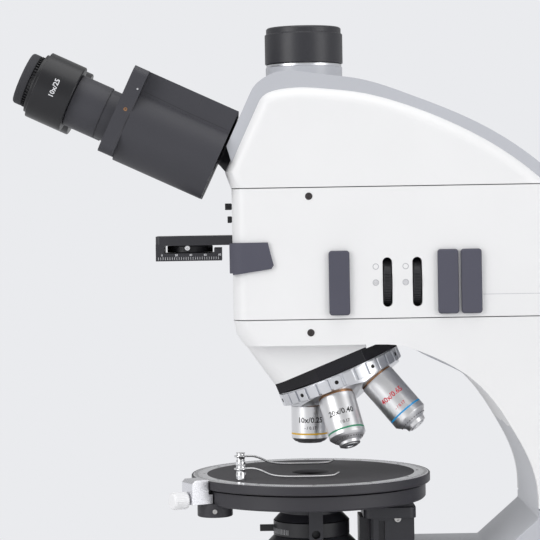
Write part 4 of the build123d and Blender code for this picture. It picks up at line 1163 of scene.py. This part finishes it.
@dataclass
class BinocularHead:
    """Two hinged tube housings, the flange between them and both eyepieces."""

    shop: Workshop
    repeater: Repeater
    hub_radius: float = 12.0
    flange_radius: float = 19.0

    def build(self) -> None:
        """Builds the housings, the flange and the eyepieces."""
        for side in Side:
            self.shop.shell(f"tube_housing_{side.word}", HEAD_BLACK, 0.9, 3)
            Eyepiece(self.shop, self.repeater, side).build()
            self.housing_marks(side)
        flange = lathe(
            [
                (0, -22.2), (11.8, -22.2), (11.8, -8.2), (self.flange_radius, -8.2),
                (16.0, -1.7), (16.0, -0.3),
                (self.hub_radius, -0.3), (self.hub_radius, 72.5), (10.5, 74.0), (0, 74.0),
            ],
            96, 0.6,
        )
        self.shop.for_node("eyetube_flange", moved(flange, head_frame()), BLACK)


    def housing_marks(self, side: Side) -> None:
        """Seams, index dot and adjusting screw of one housing.

        Args:
            side: hand of the housing.
        """
        word, frame_ = side.word, head_frame()
        node = f"tube_housing_{word}"

        def spot(along: float, up: float) -> tuple[float, float]:
            """(Y, Z) of a point along and across the head."""
            there = frame_ @ Vector((0, up, along))
            return (there.y, there.z)

        seams = {
            "plate": [spot(61.6, 18.0), spot(61.6, 8.0), spot(62.4, -8.0), spot(63.4, -39.0)],
            "top": [spot(60.5, 6.5), spot(30.0, 5.6), spot(2.0, 5.6)],
            "notch": [spot(25.0, 18.0), spot(25.0, 12.5)],
        }
        for name, corners in seams.items():
            self.shop.seam(f"housing_{name}_seam_{word}", node, corners, PLASTIC, 0.5, side)
        for name, (y, z), radius, finish in (
            ("index_dot", (-107.5, 439.1), 0.55, INK_WHITE),
            ("adjusting_screw", (-115.4, 426.5), 1.2, COPPER),
        ):
            for hit in self.shop.side_hits(node, [(y, z)], side):
                rim, dip = radius * 0.6, radius * 0.5
                section = [(0, -0.3), (radius, -0.3), (radius, 0.08), (rim, 0.12), (dip, 0), (0, 0)]
                disc = lathe(section, 24, 0.04)
                place = axes_frame(hit, Vector((0, side, 0)), Vector((side, 0, 0)))
                self.shop.detail(f"{name}_{word}", moved(disc, place), finish, node)


@dataclass
class CameraPort:
    """Cap and tube of the camera port."""

    shop: Workshop
    cap_radius: float = 25.6
    bottom: float = 456.7
    top: float = 480.7

    def build(self) -> None:
        """Builds the cap and the tube under it."""
        r, low, high = self.cap_radius, self.bottom, self.top
        cap = lathe(
            [
                (r - 2.6, low), (r, low), (r, high - 4.6), (r - 1.0, high - 4.2), (r - 1.0, high - 0.9),
                (r - 2.0, high), (0, high), (0, high - 2.5), (r - 2.6, high - 2.5),
            ],
            128, 0.5, closed=True,
        )
        self.shop.for_node("photo_port_cap", cap, BLACK)
        self.shop.shell("photo_port_tube", TURRET_METAL, 0.3)


@dataclass
class Objective:
    """One objective: barrel, colour ring, nose and figures."""

    name: str
    station: int
    length: float
    nose_radius: float
    bevel: float
    band: Finish
    band_place: float
    figures: tuple[str, str]
    ink: Finish = INK_BLACK
    knurled: bool = False
    radius: float = 12.0
    teeth: int = 30

    def build(self, shop: Workshop, repeater: Repeater) -> None:
        """Builds the objective.

        Args:
            shop: makes the pieces.
            repeater: repeats the knurls.
        """
        place = station_frame(self.station)
        r, n, end = self.radius, self.nose_radius, self.length
        start = end - self.bevel
        barrel = lathe(
            [
                (0, -5), (10.1, -5), (10.1, 0.9), (r - 0.3, 0.9), (r, 1.3), (r, start),
                (r - 1.2, start + 1.4),
                (n + 2.2, end - self.bevel * 0.4), (n + 1.8, end - 0.9), (n + 0.4, end - 0.7), (n, end),
                (n * 0.55, end), (n * 0.5, end - 0.8), (0, end - 0.8),
            ],
            96, 0.25,
        )
        shop.for_node(self.name, moved(barrel, place), SATIN_CHROME)
        ring = lathe([(10.4, 0.05), (r - 0.5, 0.05), (r - 0.5, 0.85), (10.4, 0.85)], 96, 0.1, closed=True)
        shop.detail(self.name + "_shoulder_ring", moved(ring, place), COPPER, self.name)
        low, high = self.band_place, self.band_place + 1.1
        section = [(r - 0.2, low), (r + 0.02, low), (r + 0.02, high), (r - 0.2, high)]
        band = lathe(section, 96, 0.0, closed=True)
        shop.detail(self.name + "_color_ring", moved(band, place), self.band, self.name)
        lens = lathe([(0, end - 0.35), (n * 0.3, end - 0.42), (n * 0.52, end - 0.7)], 48, 0.0)
        shop.detail(self.name + "_front_lens", moved(lens, place), GLASS, self.name)
        self.lettering(shop, place)
        if self.knurled:
            slant = atan2(self.bevel * 0.6, r - n - 3.4)
            tooth = round_edges(brick((-0.5, -0.42, -0.2), (0.5, 0.42, 0.28)), 0.12, 1)
            seat = at((r + n) / 2 + 0.6, 0, end - self.bevel * 0.66)
            tooth = moved(tooth, seat @ Matrix.Rotation(pi - slant, 4, "Y"))
            teeth = repeater.run(tooth, self.teeth, DARK_STEEL, turn=360 / self.teeth)
            shop.detail(self.name + "_knurls", moved(teeth, place), DARK_STEEL, self.name)

    def lettering(self, shop: Workshop, place: Matrix) -> None:
        """Magnification and aperture, upright on the side that faces right.

        Args:
            shop: makes the pieces.
            place: frame of the objective.
        """
        facing = place.to_3x3().inverted() @ Vector((1, 0, 0))
        angle = atan2(facing.y, facing.x) * 360 / tau
        marks = []
        for text, size, height in ((self.figures[0], 5.0, 0.40), (self.figures[1], 2.8, 0.60)):
            flat = lettering(text, size)
            bmesh.ops.rotate(flat, matrix=Matrix.Rotation(pi, 3, "Z"), verts=flat.verts)
            flat = moved(flat, at(0, self.length * height, 0))
            marks.append(wrapped(flat, self.radius + 0.03, angle))
        shop.detail(self.name + "_figures", moved(joined(*marks), place), self.ink, self.name)


@dataclass
class Nosepiece:
    """Seat, turret with its grip ring, and four objectives."""

    shop: Workshop
    repeater: Repeater
    ring_radius: float = 42.0
    ring_top: float = 50.0
    ring_height: float = 8.8
    flats: int = 30

    def build(self) -> None:
        """Builds the seat, the turret and the objectives."""
        self.shop.shell("nosepiece_seat", GLOSS_BLACK, 0.6)
        self.turret()
        objectives = (
            Objective("objective_10x", 0, 25.3, 8.0, 3.2, BAND_YELLOW, 18.6, ("10x/0.25", "- / 0.17")),
            Objective(
                "objective_20x", 1, 34.5, 5.0, 7.0, BAND_GREEN, 24.2, ("20x/0.40", "- / 0.17"), knurled=True
            ),
            Objective(
                "objective_40x", 2, 41.5, 5.0, 8.0, BAND_BLUE, 28.6, ("40x/0.65", "- / 0.17"), INK_RED, True
            ),
            Objective("objective_5x", 4, 22.0, 9.0, 3.0, BAND_RED, 15.6, ("5x/0.12", "- / 0.17")),
        )
        for objective in objectives:
            objective.build(self.shop, self.repeater)

    def turret(self) -> None:
        """Grip ring with raised flats over the faceted body of the turret."""
        place = nose_frame()
        low, high = self.ring_top, self.ring_top + self.ring_height
        body = self.shop.copy_of("nosepiece_turret")
        inner = self.ring_radius - 1.5
        axis = place.to_3x3() @ Vector((0, 0, 1))
        apex = Vector((0, 0, NOSE_APEX))
        for vert in body.verts:
            along = (vert.co - apex).dot(axis)
            centre = apex + axis * along
            out = vert.co - centre
            if out.length > inner and along < high + 0.05:
                vert.co = centre + out.normalized() * inner
        self.shop.for_node("nosepiece_turret", round_edges(body, 0.4, 2), TURRET_METAL)
        half = tau / self.flats * 0.40
        outer = self.ring_radius
        arc = [half * k / 3 for k in range(-3, 4)]
        outline = [(outer * cos(t), outer * sin(t)) for t in arc]
        outline += [((inner - 0.6) * cos(t * 1.12), (inner - 0.6) * sin(t * 1.12)) for t in reversed(arc)]
        flat = round_edges(prism(outline, low + 0.5, high - 0.3), 0.35, 2)
        flats = self.repeater.run(flat, self.flats, TURRET_METAL, turn=360 / self.flats, start=6.0)
        self.shop.detail("turret_grip_flats", moved(flats, place), TURRET_METAL, "nosepiece_turret")
        hole = lathe([(0, 0.0), (1.3, 0.0), (1.3, 0.12), (0, 0.12)], 24, 0.03)
        hole = moved(hole, at(outer - 0.06, 0, (low + high) / 2) @ Matrix.Rotation(pi / 2, 4, "Y"))
        holes = self.repeater.run(hole, 10, DARK, turn=36.0, start=6.0)
        self.shop.detail("turret_dark_holes", moved(holes, place), DARK, "nosepiece_turret")


@dataclass
class RotatingStage:
    """Stage disc with its degree scale, insert, vernier, clamp, boss and slide clips."""

    shop: Workshop
    repeater: Repeater
    radius: float = 78.5
    thickness: float = 6.0
    insert_radius: float = 68.2
    hole_radius: float = 11.8
    vernier_angle: float = 27.0

    def build(self) -> None:
        """Builds the stage from the base up."""
        top, r = STAGE_TOP, self.radius
        low = top - self.thickness
        disc = lathe(
            [
                (26.0, low), (r - 0.6, low), (r, low + 0.6), (r, top - 0.6), (r - 0.5, top - 0.05),
                (r - 1.0, top - 0.05), (r - 1.0, top - 1.0), (self.insert_radius, top - 1.0),
                (self.insert_radius, top - 2.0), (26.0, top - 2.0),
            ],
            192, 0.2, closed=True,
        )
        self.shop.for_node("stage_disc", disc, STAGE_BLACK)
        inner = self.insert_radius + 0.05
        section = [
            (inner, top - 1.0), (r - 1.05, top - 1.0), (r - 1.05, top - 0.25), (r - 1.5, top), (inner, top)
        ]
        ring = lathe(section, 192, 0.1, closed=True)
        self.shop.for_node("stage_scale_ring", ring, SCALE_METAL)
        plate = lathe(
            [
                (self.hole_radius, top - 2.0), (self.insert_radius - 0.05, top - 2.0),
                (self.insert_radius - 0.05, top - 0.1), (self.insert_radius - 0.4, top),
                (self.hole_radius + 0.6, top), (self.hole_radius, top - 0.6),
            ],
            192, 0.1, closed=True,
        )
        self.shop.for_node("stage_insert", plate, MATTE_BLACK)
        self.graduations()
        self.lower_disc()
        self.vernier()
        for side in Side:
            self.clip(side)

    def graduations(self) -> None:
        """Degree strokes and figures on the scale ring."""
        top, edge = STAGE_TOP, self.radius - 2.0
        for name, count, length in (("degree", 360, 2.2), ("five_degree", 72, 3.2), ("ten_degree", 36, 4.2)):
            stroke = brick((edge - length, -0.09, top - 0.05), (edge, 0.09, top + 0.02))
            strokes = self.repeater.run(stroke, count, INK_BLACK, turn=360 / count)
            self.shop.detail(f"scale_{name}_strokes", strokes, INK_BLACK, "stage_scale_ring")
        figures = []
        for value in range(0, 360, 30):
            flat = lettering(str(value), 2.6, 0.05)
            place = turned_by(value - 90) @ at(edge - 6.2, 0, top) @ turned_by(90)
            figures.append(moved(flat, place))
        self.shop.detail("scale_figures", joined(*figures), INK_BLACK, "stage_scale_ring")

    def lower_disc(self) -> None:
        """Fixed lower disc with the boss at its front edge."""
        bottom, top = 171.5, STAGE_TOP - self.thickness - 1.0
        disc = lathe(
            [
                (26.0, bottom), (74.3, bottom), (75.5, bottom + 1.2), (75.5, top), (40.0, top),
                (40.0, top + 0.7),
                (26.0, top + 0.7),
            ],
            160, 0.3, closed=True,
        )
        angle = radians(self.vernier_angle)
        centre = at(70.7 * sin(angle), -70.7 * cos(angle), 0)
        boss = lathe([(0, 164.5), (10.8, 164.5), (11.4, 165.1), (11.4, 173.4), (0, 173.4)], 64, 0.3)
        self.shop.for_node("stage_base", joined(disc, moved(boss, centre)), STAGE_BLACK)
        screw = lathe([(0, 0.2), (0.7, 0.2), (0.7, 0.8), (1.5, 0.8), (1.5, 0), (0, 0)], 24, 0.1)
        aim = Vector((1, 0, 0))
        where = centre @ at(11.2, 0, 168.6)
        turn = axes_frame(where.to_translation(), Vector((0, 1, 0)), aim)
        self.shop.detail("boss_screw", moved(screw, turn), STEEL, "stage_base")

    def vernier(self) -> None:
        """Bright vernier block and the clamp knob."""
        self.shop.shell("vernier_block", BRIGHT, 0.4)
        front = axes_frame(Vector((0, -91.1, 176)), Vector((1, 0, 0)), Vector((0, -1, 0)))
        place = turned_by(self.vernier_angle) @ front
        section = [(0, -12), (2.45, -12), (2.45, 0), (5.1, 0), (5.4, 0.5), (5.4, 9.6), (4.6, 10.5), (0, 10.5)]
        knob = lathe(section, 64, 0.4)
        self.shop.for_node("stage_clamp_knob", moved(knob, place), KNOB_WHITE)
        rib = round_edges(brick((5.2, -0.2, 1.0), (5.6, 0.2, 9.0)), 0.08, 1)
        ribs = self.repeater.run(rib, 30, KNOB_WHITE, turn=12.0)
        self.shop.detail("clamp_knob_ribs", moved(ribs, place), KNOB_WHITE, "stage_clamp_knob")

    def clip(self, side: Side) -> None:
        """One slide clip: turned post, collar and spring wire."""
        low, x, y = STAGE_TOP + 0.05, side * 36.0, -46.0
        post = lathe(
            [
                (0, low), (3.4, low), (3.2, low + 3.4), (2.9, low + 4.6), (2.9, low + 6.2), (4.4, low + 6.5),
                (4.4, low + 7.3), (3.0, low + 7.6), (2.9, low + 8.9), (3.3, low + 9.3), (0, low + 9.3),
            ],
            48, 0.25,
        )
        high, flat = STAGE_TOP + 7.0, STAGE_TOP + 1.3
        line = smooth_path(
            [(x, y + 1, high), (x, -36, high), (x, -24, flat), (x, 13, flat), (x, 17.4, flat + 2.4)]
        )
        wire = tube_along(line, 0.75)
        self.shop.for_node(f"slide_clip_{side.word}", joined(moved(post, at(x, y, 0)), wire), CHROME)


@dataclass
class Substage:
    """Carrier, condenser, its holder and the lower polarizer."""

    shop: Workshop
    repeater: Repeater

    def build(self) -> None:
        """Builds the parts under the stage."""
        self.shop.shell("stage_carrier", BLACK, 0.5)
        self.shop.shell("condenser_holder", BLACK, 0.5)
        self.shop.shell("condenser_knob", PLASTIC, 0.4)
        self.shop.shell("condenser_body", BLACK, 0.4)
        self.shop.shell("aperture_ring", PLASTIC, 0.3)
        self.shop.shell("polarizer_ring", PLASTIC, 0.5)
        stroke = brick((24.9, -0.12, 149.0), (25.03, 0.12, 152.4))
        strokes = self.repeater.run(stroke, 24, INK_WHITE, turn=3.4, start=-118.0)
        self.shop.detail("aperture_strokes", strokes, INK_WHITE, "aperture_ring")
        rib = round_edges(brick((26.4, -0.5, 101.2), (27.3, 0.5, 107.6)), 0.2, 1)
        ribs = self.repeater.run(rib, 72, PLASTIC, turn=5.0)
        self.shop.detail("polarizer_ribs", ribs, PLASTIC, "polarizer_ring")
        screw = moved(
            lathe([(0, 0.5), (1.1, 0.5), (1.1, 1.2), (2.2, 1.2), (2.2, -0.5), (0, -0.5)], 32, 0.1),
            axes_frame(Vector((27.0, 55.0, 160.0)), Vector((0, 1, 0)), Vector((1, 0, 0))),
        )
        self.shop.detail("carrier_screw", screw, STEEL, "stage_carrier")


@dataclass
class FocusDrive:
    """Coarse and fine knobs with the tension ring."""

    shop: Workshop
    repeater: Repeater
    axis_y: float = 108.0
    axis_z: float = 92.0

    def build(self) -> None:
        """Builds the knobs."""
        for node, start, length, radius, count in (
            ("coarse_knobs", 60.8, 22.0, 24.0, 60), ("fine_knobs", 83.3, 20.0, 15.0, 40),
        ):
            self.shop.shell(node, PLASTIC, 0.6)
            for side in Side:
                centre = Vector((side * start, self.axis_y, self.axis_z))
                place = axes_frame(centre, Vector((0, side, 0)), Vector((side, 0, 0)))
                rib = brick((radius - 0.6, -0.45, 1.6), (radius + 0.35, 0.45, length - 3.0))
                round_edges(rib, 0.2, 2)
                ribs = self.repeater.run(rib, count, RUBBER, turn=360 / count)
                self.shop.detail(f"{node}_ribs_{side.word}", moved(ribs, place), RUBBER, node)
        self.shop.shell("tension_ring", BLACK, 0.8)


@dataclass
class AnalyzerUnit:
    """Analyzer slider with its disc and scale, and the two flat sliders above it."""

    shop: Workshop
    repeater: Repeater

    def build(self) -> None:
        """Builds the front sliders."""
        self.shop.shell("analyzer_slider", BLACK, 0.4)
        self.shop.shell("analyzer_disc", BLACK, 0.3)
        side = 21.0
        tick = brick((side - 0.2, -97.4, 329.6), (side + 0.03, -97.15, 331.4))
        ticks = self.repeater.run(tick, 27, INK_WHITE, shift=(0.0, 1.5, 0.0))
        self.shop.detail("analyzer_ticks", ticks, INK_WHITE, "analyzer_slider")
        figures = []
        for k, value in enumerate(("0", "20", "40", "60", "80")):
            place = axes_frame(Vector((side, -95.0 + k * 9.4, 332.6)), Vector((0, 1, 0)), Vector((1, 0, 0)))
            figures.append(moved(lettering(value, 1.9), place))
        self.shop.detail("analyzer_figures", joined(*figures), INK_WHITE, "analyzer_slider")
        screw = lathe([(0, 0.4), (0.5, 0.4), (0.5, 1.0), (1.7, 1.0), (1.7, -1.0), (0, -1.0)], 32, 0.1)
        place = axes_frame(Vector((16.8, -78.4, 337.2)), Vector((0, 1, 0)), Vector((1, 0, 0)))
        self.shop.detail("analyzer_lock_screw", moved(screw, place), CHROME, "analyzer_slider")
        self.shop.shell("compensator_slider", PLASTIC, 0.3)
        self.shop.shell("bertrand_lens_slider", PLASTIC, 0.3)


@dataclass
class SideControls:
    """Pads, thumbwheels, corner grip and the rod of the left side."""

    shop: Workshop
    repeater: Repeater
    wheels_y: tuple[float, float] = (49.2, 68.2)

    def build(self) -> None:
        """Builds the controls of the middle storey."""
        for node in ("polarizer_slider", "filter_slider_front", "filter_slider_rear"):
            self.shop.shell(node, PAD, 0.5)
        self.shop.shell("corner_grip", PAD, 0.6)
        for node, y in zip(("field_iris_wheel", "aperture_iris_wheel"), self.wheels_y):
            self.wheel(node, y)
        self.shop.shell("light_path_rod", PLASTIC, 0.4)


    def wheel(self, node: str, y: float) -> None:
        """One thumbwheel with a smooth stretch, ribs and the two marks beside its slot.

        Args:
            node: frame node.
            y: place along the body.
        """
        place = axes_frame(Vector((36.9, y, LAMP_Z)), Vector((1, 0, 0)), Vector((0, 1, 0)))
        section = [(3.1, -2.5), (16.7, -2.5), (17.0, -2.1), (17.0, 2.1), (16.7, 2.5), (3.1, 2.5)]
        disc = lathe(section, 96, 0.2, closed=True)
        self.shop.for_node(node, moved(disc, place), PLASTIC)
        rib = round_edges(brick((16.6, -0.42, -2.2), (17.5, 0.42, 2.2)), 0.18, 2)
        ribs = self.repeater.run(rib, 52, PLASTIC, turn=6.0, start=-18.0)
        self.shop.detail(node + "_ribs", moved(ribs, place), PLASTIC, node)
        ring = lathe([(1.55, -0.2), (1.95, -0.2), (1.95, 0.05), (1.55, 0.05)], 40, 0.0, closed=True)
        marks = [moved(ring, side_frame(y - 7.4, 324.0))]
        lower = side_frame(y - 7.5, 313.8)
        ring = lathe([(1.7, -0.2), (2.0, -0.2), (2.0, 0.05), (1.7, 0.05)], 40, 0.0, closed=True)
        marks.append(moved(ring, lower))
        for k in range(-3, 4):
            reach = sqrt(max(0.0, 1.7**2 - (k * 0.5) ** 2))
            bar = brick((k * 0.5 - 0.11, -reach, -0.2), (k * 0.5 + 0.11, reach, 0.05))
            marks.append(moved(bar, lower @ turned_by(35)))
        self.shop.detail(node + "_marks", joined(*marks), INK_GREY, "illuminator_cover")


@dataclass
class Studio:
    """Floor, lights and the camera at the photograph's viewpoint."""

    focal: float = 144.5
    eye: Vector = field(default_factory=lambda: Vector((1.43, -0.047, 0.3607)))
    roll: float = radians(0.95)
    shift: tuple[float, float] = (0.0648, -0.109)

    def build(self) -> None:
        """Builds everything round the object."""
        self.camera()
        self.world()
        self.floor()
        self.lights()
        bpy.context.scene.view_settings.view_transform = "Standard"

    def camera(self) -> None:
        """Camera level with the head, looking along -X with a slight roll."""
        data = bpy.data.cameras.new("camera")
        data.lens = self.focal
        data.sensor_width = 36.0
        data.shift_x, data.shift_y = self.shift
        data.clip_start, data.clip_end = 0.01, 500.0
        made = bpy.data.objects.new("camera", data)
        bpy.context.scene.collection.objects.link(made)
        c, s = cos(self.roll), sin(self.roll)
        right, up, back = Vector((0, c, -s)), Vector((0, s, c)), Vector((1, 0, 0))
        rows = [(right[i], up[i], back[i], self.eye[i]) for i in range(3)]
        made.matrix_world = Matrix([*rows, (0, 0, 0, 1)])
        bpy.context.scene.camera = made

    def world(self) -> None:
        """Pale surroundings: one tone to the camera, a softer one as light."""
        world = bpy.data.worlds.new("studio")
        bpy.context.scene.world = world
        world.use_nodes = True
        tree = world.node_tree
        tree.nodes.clear()
        path = tree.nodes.new("ShaderNodeLightPath")
        seen = tree.nodes.new("ShaderNodeMath")
        seen.operation = "MAXIMUM"
        tree.links.new(path.outputs["Is Camera Ray"], seen.inputs[0])
        tree.links.new(path.outputs["Is Transmission Ray"], seen.inputs[1])
        shown = tree.nodes.new("ShaderNodeBackground")
        shown.inputs["Color"].default_value = (*srgb(234, 235, 238), 1.0)
        light = tree.nodes.new("ShaderNodeBackground")
        light.inputs["Color"].default_value = (0.985, 0.99, 1.0, 1.0)
        light.inputs["Strength"].default_value = 0.52
        mix = tree.nodes.new("ShaderNodeMixShader")
        tree.links.new(seen.outputs[0], mix.inputs[0])
        tree.links.new(light.outputs[0], mix.inputs[1])
        tree.links.new(shown.outputs[0], mix.inputs[2])
        out = tree.nodes.new("ShaderNodeOutputWorld")
        tree.links.new(mix.outputs[0], out.inputs[0])

    def floor(self) -> None:
        """Wide pale floor that fades into the surroundings far away."""
        bm = bmesh.new()
        reach = 200.0
        corners = ((-reach, -reach), (reach, -reach), (reach, reach), (-reach, reach))
        bm.faces.new([bm.verts.new((x, y, 0)) for x, y in corners])
        mesh = bpy.data.meshes.new("floor")
        bm.to_mesh(mesh)
        bm.free()
        made = bpy.data.objects.new("floor", mesh)
        bpy.context.scene.collection.objects.link(made)
        shader = Shader("pale floor")
        coords = shader.node("ShaderNodeTexCoord", output="Object")
        distance = shader.node("ShaderNodeVectorMath", {"operation": "LENGTH"}, {0: coords}, "Value")
        grain = shader.noise(coords, 40.0, 2.0)
        path = shader.node("ShaderNodeLightPath", output="Is Camera Ray")
        glossy = shader.node("ShaderNodeLightPath", output="Is Glossy Ray")
        lit = shader.node(
            "ShaderNodeBsdfPrincipled", None,
            {"Base Color": shader.mix(grain, (0.72, 0.72, 0.73), (0.75, 0.75, 0.76)), "Roughness": 0.7},
        )
        shown = shader.node("ShaderNodeEmission", None, {"Color": srgb(234, 235, 238), "Strength": 1.0})
        far = distance.step(0.55, 0.95) * (path + glossy).clipped(0.0, 1.0)
        shader.node_output(shader.node("ShaderNodeMixShader", None, {0: far, 1: lit, 2: shown}))
        mesh.materials.append(shader.material)

    def lights(self) -> None:
        """Two tall side boxes and one overhead."""
        aim = Vector((0, 0, 0.32))
        boxes = (
            ("left box", (1.3, -1.5, 0.9), (1.0, 1.5), 15.0),
            ("right box", (1.3, 1.6, 0.8), (1.0, 1.5), 12.0),
            ("top box", (0.2, 0.0, 2.0), (1.8, 1.8), 15.0),
        )
        for name, place, size, power in boxes:
            data = bpy.data.lights.new(name, "AREA")
            data.shape = "RECTANGLE"
            data.size, data.size_y = size
            data.energy = power
            made = bpy.data.objects.new(name, data)
            bpy.context.scene.collection.objects.link(made)
            made.location = place
            made.rotation_mode = "QUATERNION"
            made.rotation_quaternion = (aim - Vector(place)).to_track_quat("-Z", "Y")


def main() -> None:
    """Builds every sub-assembly in order."""
    logging.basicConfig(level=logging.INFO, format="%(name)s: %(message)s")
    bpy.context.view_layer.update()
    shop = Workshop(frame)
    repeater = Repeater(shop)
    builders = (
        ("studio", Studio()),
        ("stand", Stand(shop, repeater)),
        ("binocular head", BinocularHead(shop, repeater)),
        ("camera port", CameraPort(shop)),
        ("nosepiece", Nosepiece(shop, repeater)),
        ("rotating stage", RotatingStage(shop, repeater)),
        ("substage", Substage(shop, repeater)),
        ("focus drive", FocusDrive(shop, repeater)),
        ("analyzer unit", AnalyzerUnit(shop, repeater)),
        ("side controls", SideControls(shop, repeater)),
    )
    for title, builder in builders:
        start = len(shop.made)
        builder.build()
        shop.report(title, start)


if __name__ == "__main__":
    main()
